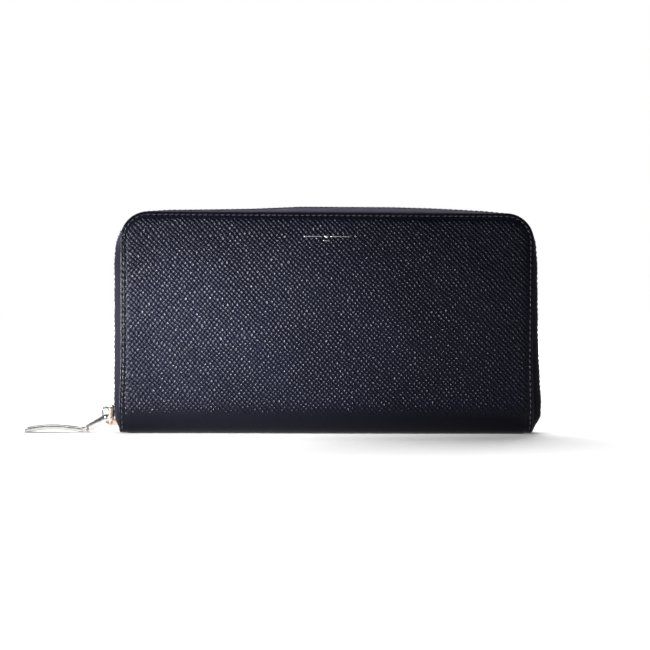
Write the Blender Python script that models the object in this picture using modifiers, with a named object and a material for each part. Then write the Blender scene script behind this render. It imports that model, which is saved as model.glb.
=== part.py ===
"""Round-zip long wallet, standing on its spine.

Metres, +Z up. The origin is the centre of the spine's flat base, X runs along the wallet,
-Y is the front cover's side. The wallet opens like a book about the foot of its front cover.
"""
import math

import bmesh
import bpy
from mathutils import Matrix, Vector

MM = 0.001
GAP = 0.3 * MM

# Outer size
WIDTH = 190 * MM
DEPTH = 22 * MM
PANEL_TOP = 102.4 * MM
CORNER_RADIUS = 13 * MM
BASE_WIDTH = 8 * MM
SPINE_TOP = 12 * MM
ARC_STEPS = 12

# Layers of one cover, from outside to inside
LEATHER = 1.2 * MM
BOARD = 0.5 * MM
LINING = 0.5 * MM
TIER = 0.5 * MM
TIER_COUNT = 4
TIER_TOP = 84 * MM
TIER_STEP = 12 * MM
TIER_HALF_WIDTH = 84 * MM
BOARD_INSET = 6.5 * MM
LINING_INSET = 1.5 * MM
# The spine's lining ends lower at the front, in degrees, to leave room for the coin purse's swing
SPINE_LINING_FRONT = -148

# The zip round three sides. Heights are measured outwards from the panels' edge.
ZIP_START = 10 * MM
ZIP_SECTION = [(3.05, 2.2), (5.2, 2.1), (7.2, 1.5), (8.6, 0.2), (9.25, -1.2), (9.25, -6.0)]
TAPE = 0.5 * MM
TEETH_NEAR = 0.8 * MM
TEETH_FAR = 2.75 * MM
TEETH_LOW = 1.2 * MM
TEETH_HIGH = 3.2 * MM

# The main slider, closed at the foot of the left side
SLIDER_LOW = 3.2 * MM
SLIDER_LENGTH = 9.5 * MM
SLIDER_HALF_WIDTH = 4 * MM
SLIDER_PLATE = 1.2 * MM
SLIDER_CAVITY = (0.9 * MM, 4.1 * MM)
NECK_HALF_WIDTH = 0.5 * MM
BRIDGE_ROUTE = [(5.9, 4.4), (7.2, 4.9), (8.3, 6.6), (8.8, 8.8), (9.0, 10.3), (8.5, 11.3), (7.4, 11.6), (6.4, 11.2), (5.9, 10.4)]
BRIDGE_RADIUS = 0.5 * MM

# The pull: a forked link on the bridge and an arched bar on the link
LINK_PIN_AT = (-102.1 * MM, 6.9 * MM)
BAR_PIN_AT = (-110.7 * MM, 1.7 * MM)
PIN_RADIUS = 0.45 * MM
PIN_CLEARANCE = 0.07 * MM
LINK_HALF_THICKNESS = 1.7 * MM
LINK_SLOT_HALF = 0.85 * MM
LINK_EYE_RADIUS = 0.95 * MM
LINK_END_RADIUS = 1.6 * MM
LINK_TOP_SLOT = 5.6 * MM
LINK_LOW_SLOT = 2.1 * MM
BAR_RIGHT = -112.9 * MM
BAR_LENGTH = 26.8 * MM
BAR_HALF_WIDTH = 2.6 * MM
TONGUE_HALF = 0.55 * MM
TONGUE_RADIUS = 1.2 * MM

# The coin purse in the middle, with its own zip along the top
COIN_HALF_WIDTH = 88 * MM
COIN_LOW = 6 * MM
COIN_TOP = 76 * MM
COIN_HALF_DEPTH = 2.7 * MM
COIN_CLOTH = 0.5 * MM
COIN_ZIP_HALF_LENGTH = 82 * MM
COIN_TAPE = 0.4 * MM
COIN_TAPE_SECTION = [(2.45, 81.2), (3.7, 81.15), (3.95, 80.4), (3.9, 78.9), (2.6, 77.1), (2.45, 76.4)]
COIN_TEETH = (0.75 * MM, 2.15 * MM)
COIN_TEETH_HEIGHT = (80.4 * MM, 82.0 * MM)
COIN_SLIDER_LEFT = -79.5 * MM
COIN_SLIDER_LENGTH = 7.5 * MM
COIN_SLIDER_HALF_WIDTH = 3.3 * MM
COIN_PLATE = 1.0 * MM
COIN_ARCH_CENTRE = (-75.8 * MM, 83.95 * MM)
COIN_ARCH_RADIUS = 2.1 * MM
COIN_ARCH_WIRE = 0.4 * MM
COIN_PULL_REACH = 17 * MM
COIN_PULL_HALF_WIDTH = 2.2 * MM
COIN_PULL_THICKNESS = 0.7 * MM

# The pleated side walls
GUSSET = 0.3 * MM
GUSSET_LOW = 10 * MM
GUSSET_TOP = 76 * MM
PLEAT_DEPTH_LOW = 4 * MM
PLEAT_DEPTH_TOP = 26 * MM
GUSSET_ROWS = 6

HALF_WIDTH = WIDTH / 2
HALF_DEPTH = DEPTH / 2
BOARD_OUTER = HALF_DEPTH - LEATHER - GAP
LINING_OUTER = BOARD_OUTER - BOARD - GAP
TIER_OUTER = LINING_OUTER - LINING - GAP

# Colour, roughness and metallic value of each material
NAVY = ((0.022, 0.024, 0.045, 1), 0.45, 0.0)
BEIGE = ((0.30, 0.24, 0.19, 1), 0.6, 0.0)
BOARD_GREY = ((0.35, 0.33, 0.30, 1), 0.8, 0.0)
TAPE_PURPLE = ((0.10, 0.09, 0.15, 1), 0.8, 0.0)
DARK_METAL = ((0.12, 0.12, 0.15, 1), 0.35, 0.9)
SILVER = ((0.85, 0.84, 0.82, 1), 0.15, 1.0)
LINING_BLUE = ((0.035, 0.04, 0.075, 1), 0.75, 0.0)


def clear_scene():
    for obj in list(bpy.data.objects):
        bpy.data.objects.remove(obj)


def new_collection(name):
    collection = bpy.data.collections.new(name)
    bpy.context.scene.collection.children.link(collection)
    return collection


def paint(obj, look):
    colour, roughness, metallic = look
    material = bpy.data.materials.new(obj.name)
    material.use_nodes = True
    shader = material.node_tree.nodes["Principled BSDF"]
    shader.inputs["Base Color"].default_value = colour
    shader.inputs["Roughness"].default_value = roughness
    shader.inputs["Metallic"].default_value = metallic
    material.diffuse_color = colour
    obj.data.materials.clear()
    obj.data.materials.append(material)


def mesh_from_curve(curve_object, name, collection):
    """Turns a curve into a mesh object with welded caps and removes the curve."""
    bpy.context.scene.collection.objects.link(curve_object)
    graph = bpy.context.evaluated_depsgraph_get()
    mesh = bpy.data.meshes.new_from_object(curve_object.evaluated_get(graph))
    matrix = curve_object.matrix_world.copy()
    bpy.data.objects.remove(curve_object)
    cage = bmesh.new()
    cage.from_mesh(mesh)
    bmesh.ops.remove_doubles(cage, verts=cage.verts, dist=1e-6)
    bmesh.ops.recalc_face_normals(cage, faces=cage.faces)
    cage.to_mesh(mesh)
    cage.free()
    obj = bpy.data.objects.new(name, mesh)
    obj.matrix_world = matrix
    collection.objects.link(obj)
    mesh.shade_smooth()
    mesh.set_sharp_from_angle(angle=math.radians(35))
    return obj


def new_spline(curve, points, closed):
    spline = curve.splines.new("POLY")
    spline.points.add(len(points) - 1)
    for place, point in zip(spline.points, points):
        place.co = (*point, 1.0)
    spline.use_cyclic_u = closed


def plate(name, outline, plane, low, high, collection):
    """A flat outline given a thickness. Plane XZ stands the outline up with low..high along Y,
    plane YZ stands it up with low..high along X, and plane XY lays it flat with low..high along Z."""
    curve = bpy.data.curves.new(name, "CURVE")
    curve.dimensions = "2D"
    curve.fill_mode = "BOTH"
    curve.extrude = (high - low) / 2
    new_spline(curve, [(x, y, 0.0) for x, y in outline], True)
    obj = bpy.data.objects.new(name, curve)
    middle = (low + high) / 2
    if plane == "XZ":
        obj.matrix_world = Matrix.Translation((0, middle, 0)) @ Matrix.Rotation(math.pi / 2, 4, "X")
    elif plane == "YZ":
        turn = Matrix.Rotation(math.pi / 2, 4, "Z") @ Matrix.Rotation(math.pi / 2, 4, "X")
        obj.matrix_world = Matrix.Translation((middle, 0, 0)) @ turn
    else:
        obj.matrix_world = Matrix.Translation((0, 0, middle))
    bpy.context.view_layer.update()
    return mesh_from_curve(obj, name, collection)


def wire(name, route, radius, collection):
    """A round rod along the route's points, with closed ends."""
    curve = bpy.data.curves.new(name, "CURVE")
    curve.dimensions = "3D"
    curve.bevel_depth = radius
    curve.bevel_resolution = 2
    curve.use_fill_caps = True
    new_spline(curve, route, False)
    return mesh_from_curve(bpy.data.objects.new(name, curve), name, collection)


def arc(centre, radius_x, radius_y, start, end, steps=ARC_STEPS):
    """Points of an elliptical arc, with its angles in degrees."""
    points = []
    for step in range(steps + 1):
        angle = math.radians(start + (end - start) * step / steps)
        points.append((centre[0] + radius_x * math.cos(angle), centre[1] + radius_y * math.sin(angle)))
    return points


def rectangle(low_x, high_x, low_y, high_y):
    return [(low_x, low_y), (high_x, low_y), (high_x, high_y), (low_x, high_y)]


def panel_outline(inset, bottom):
    """A cover's outline: square at the foot, round at the two top corners."""
    radius = CORNER_RADIUS - inset
    side = HALF_WIDTH - inset
    centre_x = side - radius
    centre_z = PANEL_TOP - inset - radius
    right = arc((centre_x, centre_z), radius, radius, 0, 90)
    left = arc((-centre_x, centre_z), radius, radius, 90, 180)
    return [(-side, bottom), (side, bottom)] + right + left


def smooth_route(points, per_span=4):
    """A Catmull-Rom curve through the points, as (x, y) pairs in millimetres turned to metres."""
    ends = [points[0]] + points + [points[-1]]
    route = []
    for index in range(len(points) - 1):
        a, b, c, d = (Vector(ends[index + k]) for k in range(4))
        for step in range(per_span):
            t = step / per_span
            route.append(0.5 * (2 * b + (c - a) * t + (2 * a - 5 * b + 4 * c - d) * t * t
                                + (3 * b - a - 3 * c + d) * t ** 3))
    route.append(Vector(points[-1]))
    return [point * MM for point in route]


def ribbon_section(points, thickness, sign):
    """The closed outline of a strip of this thickness along the points, mirrored by sign."""
    line = [Vector(point) * MM for point in points]
    left, right = [], []
    for index, point in enumerate(line):
        before = line[max(index - 1, 0)]
        after = line[min(index + 1, len(line) - 1)]
        along = (after - before).normalized()
        across = Vector((-along.y, along.x)) * thickness / 2
        left.append(point + across)
        right.append(point - across)
    return [(sign * point.x, point.y) for point in left + right[::-1]]


def zip_path(offset):
    """The rounded U that the zip follows, this far outside the panels' edge."""
    radius = CORNER_RADIUS + offset
    centre_x = HALF_WIDTH - CORNER_RADIUS
    centre_z = PANEL_TOP - CORNER_RADIUS
    left = arc((-centre_x, centre_z), radius, radius, 180, 90)
    right = arc((centre_x, centre_z), radius, radius, 90, 0)
    foot = HALF_WIDTH + offset
    return [(-foot, ZIP_START)] + left + right + [(foot, ZIP_START)]


def sweep_round_zip(name, section, collection):
    """A section of (depth, height) points carried round the zip's path as one closed strip."""
    mesh = bpy.data.meshes.new(name)
    cage = bmesh.new()
    rings = []
    for depth, height in section:
        rings.append([cage.verts.new((x, depth, z)) for x, z in zip_path(height)])
    count = len(section)
    stations = len(rings[0])
    for index in range(count):
        here, there = rings[index], rings[(index + 1) % count]
        for station in range(stations - 1):
            cage.faces.new((here[station], there[station], there[station + 1], here[station + 1]))
    cage.faces.new([ring[0] for ring in rings])
    cage.faces.new([ring[-1] for ring in rings][::-1])
    bmesh.ops.recalc_face_normals(cage, faces=cage.faces)
    cage.to_mesh(mesh)
    cage.free()
    obj = bpy.data.objects.new(name, mesh)
    collection.objects.link(obj)
    mesh.shade_smooth()
    mesh.set_sharp_from_angle(angle=math.radians(35))
    return obj


def rod(name, x, z, radius, half_length, collection, sides=16):
    """A round pin across the wallet, along Y."""
    mesh = bpy.data.meshes.new(name)
    cage = bmesh.new()
    bmesh.ops.create_cone(cage, cap_ends=True, segments=sides, radius1=radius, radius2=radius, depth=2 * half_length)
    cage.to_mesh(mesh)
    cage.free()
    obj = bpy.data.objects.new(name, mesh)
    obj.location = (x, 0, z)
    obj.rotation_euler = (math.pi / 2, 0, 0)
    collection.objects.link(obj)
    mesh.shade_smooth()
    mesh.set_sharp_from_angle(angle=math.radians(35))
    return obj


def combine(obj, other, operation):
    modifier = obj.modifiers.new(operation.title() + " " + other.name, "BOOLEAN")
    modifier.operation = operation
    modifier.solver = "EXACT"
    modifier.object = other
    other.hide_render = True
    other.display_type = "WIRE"


def spine_outline(skin_outer, skin, front_end=-180):
    """The U section of a layer round the spine, this far inside the outer surface. Its front side
    rises to the angle front_end, where -180 degrees is the whole height of the spine."""
    half_base = BASE_WIDTH / 2
    outer_y = HALF_DEPTH - half_base - skin_outer
    outer_z = SPINE_TOP - skin_outer
    outer = arc((half_base, SPINE_TOP), outer_y, outer_z, 0, -90)
    outer += arc((-half_base, SPINE_TOP), outer_y, outer_z, -90, front_end)
    inner = arc((-half_base, SPINE_TOP), outer_y - skin, outer_z - skin, front_end, -90)
    inner += arc((half_base, SPINE_TOP), outer_y - skin, outer_z - skin, -90, 0)
    return outer + inner


def make_half(side, name, parts):
    """One cover with its board, lining and card tiers. Side is -1 at the front and 1 at the rear."""
    def layer(piece, outline, outer, thickness, look):
        low, high = sorted((side * outer, side * (outer - thickness)))
        paint(plate(f"{name}_{piece}", outline, "XZ", low, high, parts), look)

    foot = SPINE_TOP + GAP
    layer("cover", panel_outline(0, foot), HALF_DEPTH, LEATHER, NAVY)
    layer("board", panel_outline(BOARD_INSET, foot + 2 * MM), BOARD_OUTER, BOARD, BOARD_GREY)
    layer("lining", panel_outline(LINING_INSET, foot), LINING_OUTER, LINING, LINING_BLUE)
    for tier in range(TIER_COUNT):
        outer = TIER_OUTER - tier * (TIER + GAP)
        top = TIER_TOP - tier * TIER_STEP
        outline = rectangle(-TIER_HALF_WIDTH, TIER_HALF_WIDTH, foot, top)
        layer(f"card_tier_{tier + 1}", outline, outer, TIER, NAVY)


def make_spine(parts):
    paint(plate("spine", spine_outline(0, LEATHER), "YZ", -HALF_WIDTH, HALF_WIDTH, parts), NAVY)
    inside = HALF_DEPTH - LINING_OUTER
    reach = HALF_WIDTH - 1 * MM
    section = spine_outline(inside, LINING, SPINE_LINING_FRONT)
    paint(plate("spine_lining", section, "YZ", -reach, reach, parts), LINING_BLUE)


def make_zip(parts):
    teeth = [(TEETH_NEAR, TEETH_LOW), (TEETH_FAR, TEETH_LOW), (TEETH_FAR, TEETH_HIGH), (TEETH_NEAR, TEETH_HIGH)]
    for side, name in ((-1, "front"), (1, "rear")):
        paint(sweep_round_zip(f"{name}_zip_tape", ribbon_section(ZIP_SECTION, TAPE, side), parts), TAPE_PURPLE)
        rail = [(side * depth, height) for depth, height in teeth]
        paint(sweep_round_zip(f"{name}_zip_teeth", rail, parts), DARK_METAL)
    stop_low = ZIP_START - 2.3 * MM
    outline = rectangle(HALF_WIDTH + TEETH_LOW, HALF_WIDTH + TEETH_HIGH, stop_low, ZIP_START - GAP)
    paint(plate("zip_bottom_stop", outline, "XZ", -2.6 * MM, 2.6 * MM, parts), DARK_METAL)


def slider_outline(low, length, half_width, nose):
    """A slider plate seen face on: wide at its middle, narrower towards each end."""
    return [(-nose, low), (nose, low), (half_width, low + 0.35 * length), (half_width, low + 0.7 * length),
            (0.75 * half_width, low + length), (-0.75 * half_width, low + length),
            (-half_width, low + 0.7 * length), (-half_width, low + 0.35 * length)]


def make_slider(parts, cutters):
    edge = -HALF_WIDTH
    low, high = SLIDER_CAVITY
    face = slider_outline(SLIDER_LOW, SLIDER_LENGTH, SLIDER_HALF_WIDTH, 1.8 * MM)
    body = plate("slider_body", face, "YZ", edge - high - SLIDER_PLATE, edge - high, parts)
    inner = plate("slider_inner_plate", face, "YZ", edge - low, edge - low + SLIDER_PLATE, cutters)
    neck_outline = rectangle(-NECK_HALF_WIDTH, NECK_HALF_WIDTH, SLIDER_LOW + 0.4 * MM, SLIDER_LOW + 3 * MM)
    bite = 0.4 * MM
    neck = plate("slider_neck", neck_outline, "YZ", edge - high - bite, edge - low + bite, cutters)
    combine(body, neck, "UNION")
    combine(body, inner, "UNION")
    paint(body, SILVER)
    route = [(edge - point.x, 0.0, point.y) for point in smooth_route(BRIDGE_ROUTE)]
    paint(wire("slider_bridge", route, BRIDGE_RADIUS, parts), SILVER)


def link_outline():
    """The link face on: a slim eye on the bridge's side, round and wider at the bar's side."""
    top = Vector(LINK_PIN_AT)
    low = Vector(BAR_PIN_AT)
    heading = math.degrees(math.atan2(top.y - low.y, top.x - low.x))
    eye = arc(top, LINK_EYE_RADIUS, LINK_EYE_RADIUS, heading - 90, heading + 90, 8)
    end = arc(low, LINK_END_RADIUS, LINK_END_RADIUS, heading + 90, heading + 270, 12)
    return eye + end


def box_along_link(name, start, end, half_depth, half_height, collection):
    """A box from start to end metres along the link's centre line, measured from its bridge pin."""
    top = Vector(LINK_PIN_AT)
    low = Vector(BAR_PIN_AT)
    along = (low - top).normalized()
    across = Vector((-along.y, along.x)) * half_height
    outline = [top + along * start - across, top + along * end - across,
               top + along * end + across, top + along * start + across]
    return plate(name, outline, "XZ", -half_depth, half_depth, collection)


def make_pull(parts, cutters):
    length = (Vector(LINK_PIN_AT) - Vector(BAR_PIN_AT)).length
    hole = PIN_RADIUS + PIN_CLEARANCE
    link = plate("pull_link", link_outline(), "XZ", -LINK_HALF_THICKNESS, LINK_HALF_THICKNESS, parts)
    past = 3 * MM
    slots = [box_along_link("link_top_slot", -past, LINK_TOP_SLOT, LINK_SLOT_HALF, past, cutters),
             box_along_link("link_low_slot", length - LINK_LOW_SLOT, length + past, LINK_SLOT_HALF, past, cutters)]
    for slot in slots:
        combine(link, slot, "DIFFERENCE")
    for name, (x, z) in (("link_pin", LINK_PIN_AT), ("bar_pin", BAR_PIN_AT)):
        combine(link, rod(f"{name}_hole", x, z, hole, past, cutters), "DIFFERENCE")
        paint(rod(name, x, z, PIN_RADIUS, LINK_HALF_THICKNESS, parts), SILVER)
    paint(link, SILVER)

    bar = plate("pull_bar", bar_outline(), "XZ", -BAR_HALF_WIDTH, BAR_HALF_WIDTH, parts)
    eye = arc(BAR_PIN_AT, TONGUE_RADIUS, TONGUE_RADIUS, -90, 90, 12)
    root = BAR_RIGHT - 0.6 * MM
    tongue_outline = eye + [(root, BAR_PIN_AT[1] + TONGUE_RADIUS), (root, BAR_PIN_AT[1] - TONGUE_RADIUS)]
    combine(bar, plate("bar_tongue", tongue_outline, "XZ", -TONGUE_HALF, TONGUE_HALF, cutters), "UNION")
    combine(bar, rod("bar_eye_hole", *BAR_PIN_AT, hole, past, cutters), "DIFFERENCE")
    paint(bar, SILVER)


def bar_outline():
    """The bar's side view: a shallow arch that stands on its two ends."""
    steps = 14
    top, under = [], []
    for step in range(steps + 1):
        t = step / steps
        x = BAR_RIGHT - BAR_LENGTH * t
        rise = math.sin(math.pi * t ** 0.85)
        top.append((x, (2.5 + 1.0 * rise) * MM))
        under.append((x, 1.3 * rise * MM))
    return top + under[::-1]


def make_coin_purse(parts, cutters):
    wall_in = COIN_HALF_DEPTH - COIN_CLOTH
    between = wall_in - GAP
    wall = rectangle(-COIN_HALF_WIDTH, COIN_HALF_WIDTH, COIN_LOW, COIN_TOP)
    paint(plate("coin_front_wall", wall, "XZ", -COIN_HALF_DEPTH, -wall_in, parts), NAVY)
    paint(plate("coin_rear_wall", wall, "XZ", wall_in, COIN_HALF_DEPTH, parts), NAVY)
    base = rectangle(-between, between, COIN_LOW, COIN_LOW + COIN_CLOTH)
    paint(plate("coin_base", base, "YZ", -COIN_HALF_WIDTH, COIN_HALF_WIDTH, parts), NAVY)
    side = rectangle(-between, between, COIN_LOW + COIN_CLOTH + GAP, COIN_TOP)
    inner = COIN_HALF_WIDTH - COIN_CLOTH
    paint(plate("coin_side_left", side, "YZ", -COIN_HALF_WIDTH, -inner, parts), NAVY)
    paint(plate("coin_side_right", side, "YZ", inner, COIN_HALF_WIDTH, parts), NAVY)

    near, far = COIN_TEETH
    low, high = COIN_TEETH_HEIGHT
    neck_end = COIN_SLIDER_LEFT + 3 * MM
    rail_end = COIN_ZIP_HALF_LENGTH - 1.2 * MM
    for sign, name in ((-1, "front"), (1, "rear")):
        tape = ribbon_section(COIN_TAPE_SECTION, COIN_TAPE, sign)
        tape_name = f"coin_zip_tape_{name}"
        paint(plate(tape_name, tape, "YZ", -COIN_ZIP_HALF_LENGTH, COIN_ZIP_HALF_LENGTH, parts), TAPE_PURPLE)
        rail = rectangle(*sorted((sign * near, sign * far)), low, high)
        paint(plate(f"coin_zip_teeth_{name}", rail, "YZ", neck_end, rail_end, parts), SILVER)
    stop = rectangle(-far, far, low, high)
    paint(plate("coin_zip_stop", stop, "YZ", rail_end + GAP, COIN_ZIP_HALF_LENGTH, parts), SILVER)

    cavity_low, cavity_high = low - GAP, high + GAP
    face = slider_outline(COIN_SLIDER_LEFT, COIN_SLIDER_LENGTH, COIN_SLIDER_HALF_WIDTH, 1.5 * MM)
    face = [(x, y) for y, x in face]
    body = plate("coin_slider_body", face, "XY", cavity_high, cavity_high + COIN_PLATE, parts)
    under = plate("coin_slider_under", face, "XY", cavity_low - COIN_PLATE, cavity_low, cutters)
    bite = 0.4 * MM
    neck = rectangle(COIN_SLIDER_LEFT + 0.4 * MM, neck_end - GAP, -0.45 * MM, 0.45 * MM)
    combine(body, plate("coin_slider_neck", neck, "XY", cavity_low - bite, cavity_high + bite, cutters), "UNION")
    combine(body, under, "UNION")
    paint(body, SILVER)

    centre_x, centre_z = COIN_ARCH_CENTRE
    arch = arc(COIN_ARCH_CENTRE, COIN_ARCH_RADIUS, COIN_ARCH_RADIUS, 172, 8, 16)
    route = [(x, 0.0, z) for x, z in arch]
    paint(wire("coin_slider_bridge", route, COIN_ARCH_WIRE, parts), SILVER)
    reach = centre_x + COIN_PULL_REACH
    half = COIN_PULL_HALF_WIDTH
    near_end = centre_x + 0.6 * MM
    outline = [(near_end, -half)] + arc((reach - half, 0), half, half, -90, 90, 8) + [(near_end, half)]
    thick = COIN_PULL_THICKNESS / 2
    pull = plate("coin_pull", outline, "XY", centre_z - thick, centre_z + thick, parts)
    slot_near = COIN_ARCH_RADIUS - 0.9 * MM
    slot_far = COIN_ARCH_RADIUS + 0.9 * MM
    slot = rectangle(centre_x + slot_near, centre_x + slot_far, -0.9 * MM, 0.9 * MM)
    combine(pull, plate("coin_pull_slot", slot, "XY", centre_z - 2 * MM, centre_z + 2 * MM, cutters), "DIFFERENCE")
    paint(pull, SILVER)


def gusset_row(height):
    """The pleated section at this height as (inset from the middle, depth) points, front to rear."""
    share = (height - GUSSET_LOW) / (GUSSET_TOP - GUSSET_LOW)
    fold = 92 * MM - (PLEAT_DEPTH_LOW + (PLEAT_DEPTH_TOP - PLEAT_DEPTH_LOW) * share)
    flange = TIER_OUTER - GUSSET / 2
    front = [(85.6 * MM, -flange), (91.6 * MM, -flange), (90.6 * MM, -4.4 * MM), (fold, -4.4 * MM),
             (fold - 0.4 * MM, -3.85 * MM), (fold, -3.3 * MM), (90.2 * MM, -3.3 * MM), (91.8 * MM, -1.2 * MM)]
    return front + [(92.4 * MM, 0.0)] + [(x, -depth) for x, depth in reversed(front)]


def make_gusset(name, sign, parts):
    """A pleated side wall: a sheet whose folds deepen towards the top, given its thickness by Solidify."""
    mesh = bpy.data.meshes.new(name)
    cage = bmesh.new()
    rows = []
    for row in range(GUSSET_ROWS + 1):
        height = GUSSET_LOW + (GUSSET_TOP - GUSSET_LOW) * row / GUSSET_ROWS
        rows.append([cage.verts.new((sign * x, y, height)) for x, y in gusset_row(height)])
    for lower, upper in zip(rows, rows[1:]):
        for index in range(len(lower) - 1):
            cage.faces.new((lower[index], lower[index + 1], upper[index + 1], upper[index]))
    bmesh.ops.recalc_face_normals(cage, faces=cage.faces)
    cage.to_mesh(mesh)
    cage.free()
    obj = bpy.data.objects.new(name, mesh)
    parts.objects.link(obj)
    shell = obj.modifiers.new("Thickness", "SOLIDIFY")
    shell.thickness = GUSSET
    shell.offset = 0
    paint(obj, LINING_BLUE)


def main():
    clear_scene()
    parts = new_collection("long_wallet")
    cutters = new_collection("cutters")
    make_half(-1, "front", parts)
    make_half(1, "rear", parts)
    make_spine(parts)
    make_zip(parts)
    make_slider(parts, cutters)
    make_pull(parts, cutters)
    make_coin_purse(parts, cutters)
    make_gusset("gusset_left", -1, parts)
    make_gusset("gusset_right", 1, parts)


main()
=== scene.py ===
"""Looks of the round-zip long wallet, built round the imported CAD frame. Metres, +Z up."""

import math

import bmesh
import bpy
import numpy as np
from mathutils import Matrix, Vector


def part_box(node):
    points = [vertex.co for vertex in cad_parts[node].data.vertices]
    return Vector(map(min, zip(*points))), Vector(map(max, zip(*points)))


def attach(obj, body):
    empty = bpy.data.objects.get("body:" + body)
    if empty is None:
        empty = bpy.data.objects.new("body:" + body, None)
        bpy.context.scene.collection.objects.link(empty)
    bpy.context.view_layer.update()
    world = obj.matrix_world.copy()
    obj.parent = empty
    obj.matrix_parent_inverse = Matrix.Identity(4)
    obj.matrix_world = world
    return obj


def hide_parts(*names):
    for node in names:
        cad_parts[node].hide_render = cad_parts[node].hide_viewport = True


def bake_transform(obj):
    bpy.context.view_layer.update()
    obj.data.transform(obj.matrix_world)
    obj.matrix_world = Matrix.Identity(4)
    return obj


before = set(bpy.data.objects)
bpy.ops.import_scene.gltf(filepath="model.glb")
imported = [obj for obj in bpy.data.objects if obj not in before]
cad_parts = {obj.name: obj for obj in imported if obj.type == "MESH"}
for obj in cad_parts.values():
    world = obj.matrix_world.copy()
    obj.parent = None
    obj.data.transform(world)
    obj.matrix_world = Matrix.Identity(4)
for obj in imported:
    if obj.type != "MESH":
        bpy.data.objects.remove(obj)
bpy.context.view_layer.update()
MM = 0.001

# Sizes read from the frame
COVER_LOW, COVER_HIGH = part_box("front_cover")
HALF_WIDTH = COVER_HIGH.x
TOP = COVER_HIGH.z
HALF_DEPTH = -COVER_LOW.y
SPINE_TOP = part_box("spine")[1].z

# Sizes that the CAD script gives the solids inside those boxes
CORNER = 13 * MM
BASE_HALF = 4 * MM

# Leather
SKIN = 1.4 * MM
EDGE_ROUND = SKIN / 2
STITCH_INSET = 1.5 * MM
STITCH_PITCH = 2.6 * MM
MARGIN = 2.9 * MM
PADDING = 0.32 * MM

# Zip
TOOTH_PITCH = 2.4 * MM
TAPE_SECTION = [(2.5, 2.0), (4.0, 2.1), (5.4, 2.0), (6.8, 1.6), (7.9, 0.95), (8.7, 0.05), (9.1, -0.9),
                (9.2, -2.2), (9.2, -5.6)]
TAPE_THICKNESS = 0.45 * MM
ZIP_FOOT = 0.9 * MM
CREST = 2.9
TOOTH_HEIGHT = 1.7 * MM
TOOTH_REACH = 2.62 * MM
TOOTH_ASIDE = 0.95 * MM

# Up to this height the slider travels on the left side. There the teeth stand further from the middle
TRAVEL_TOP = 86 * MM
TOOTH_ASIDE_IN_TRAVEL = 1.45 * MM

# Points closer together than this are one point
WELD = 2e-6


# ---------------------------------------------------------------- mesh helpers

def new_object(name, mesh):
    obj = bpy.data.objects.new(name, mesh)
    bpy.context.scene.collection.objects.link(obj)
    return obj


def finished(name, mesh, weld=0.0, sharp=None):
    """An object from a mesh, with its faces turned outwards. Edges sharper than this angle, in degrees,
    stay sharp."""
    cage = bmesh.new()
    cage.from_mesh(mesh)
    if weld:
        bmesh.ops.remove_doubles(cage, verts=cage.verts, dist=weld)
    bmesh.ops.recalc_face_normals(cage, faces=cage.faces)
    cage.to_mesh(mesh)
    cage.free()
    mesh.shade_smooth()
    if sharp:
        mesh.set_sharp_from_angle(angle=math.radians(sharp))
    return new_object(name, mesh)


def mesh_object(name, verts, faces, uv=None, floats=None, weld=0.0, sharp=None):
    """An object from points and faces. uv is one pair per point, and floats is {attribute: one number
    per point}."""
    mesh = bpy.data.meshes.new(name)
    mesh.from_pydata([tuple(v) for v in verts], [], faces)
    if uv is not None:
        layer = mesh.uv_layers.new(name="cut")
        corner = np.zeros(len(mesh.loops), np.int32)
        mesh.loops.foreach_get("vertex_index", corner)
        layer.data.foreach_set("uv", np.asarray(uv, np.float32)[corner].ravel())
    for key, values in (floats or {}).items():
        mesh.attributes.new(key, "FLOAT", "POINT").data.foreach_set("value", np.asarray(values, np.float32))
    return finished(name, mesh, weld, sharp)


def grid_faces(rows, columns, offset=0, flip=False):
    faces = []
    for i in range(rows - 1):
        for j in range(columns - 1):
            a = offset + i * columns + j
            face = (a, a + 1, a + columns + 1, a + columns)
            faces.append(face[::-1] if flip else face)
    return faces


def closed_sheet(name, outer, inner, uv, floats=None):
    """A sheet: a front and a back of rows x columns points. Their rims coincide, or a strip joins them."""
    rows, columns = outer.shape[:2]
    count = rows * columns
    faces = grid_faces(rows, columns) + grid_faces(rows, columns, count, flip=True)
    rim = [(0, j) for j in range(columns)] + [(i, columns - 1) for i in range(1, rows)]
    rim += [(rows - 1, j) for j in range(columns - 2, -1, -1)] + [(i, 0) for i in range(rows - 2, 0, -1)]
    ring = [i * columns + j for i, j in rim]
    gaps = [np.linalg.norm(outer[i, j] - inner[i, j]) for i, j in rim]
    if max(gaps) > 2e-5:
        for a, b in zip(ring, ring[1:] + ring[:1]):
            faces.append((a, b, b + count, a + count))
    verts = np.concatenate([outer.reshape(-1, 3), inner.reshape(-1, 3)])
    both = {key: np.concatenate([v.ravel(), v.ravel()]) for key, v in (floats or {}).items()}
    uv = uv.reshape(-1, 2)
    return mesh_object(name, verts, faces, np.concatenate([uv, uv]), both, weld=WELD, sharp=50)


def loft(name, rings, uv=None, caps=True, closed=True, sharp=40):
    """Joins rings of equally many points. Each ring is closed, and the first and last get a cap."""
    stations, count = len(rings), len(rings[0])
    verts = np.concatenate([np.asarray(r, float) for r in rings])
    faces = []
    for i in range(stations - 1):
        for j in range(count if closed else count - 1):
            k = (j + 1) % count
            faces.append((i * count + j, i * count + k, (i + 1) * count + k, (i + 1) * count + j))
    if caps:
        faces.append(tuple(range(count))[::-1])
        faces.append(tuple(range((stations - 1) * count, stations * count)))
    return mesh_object(name, verts, faces, uv, sharp=sharp)


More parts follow.
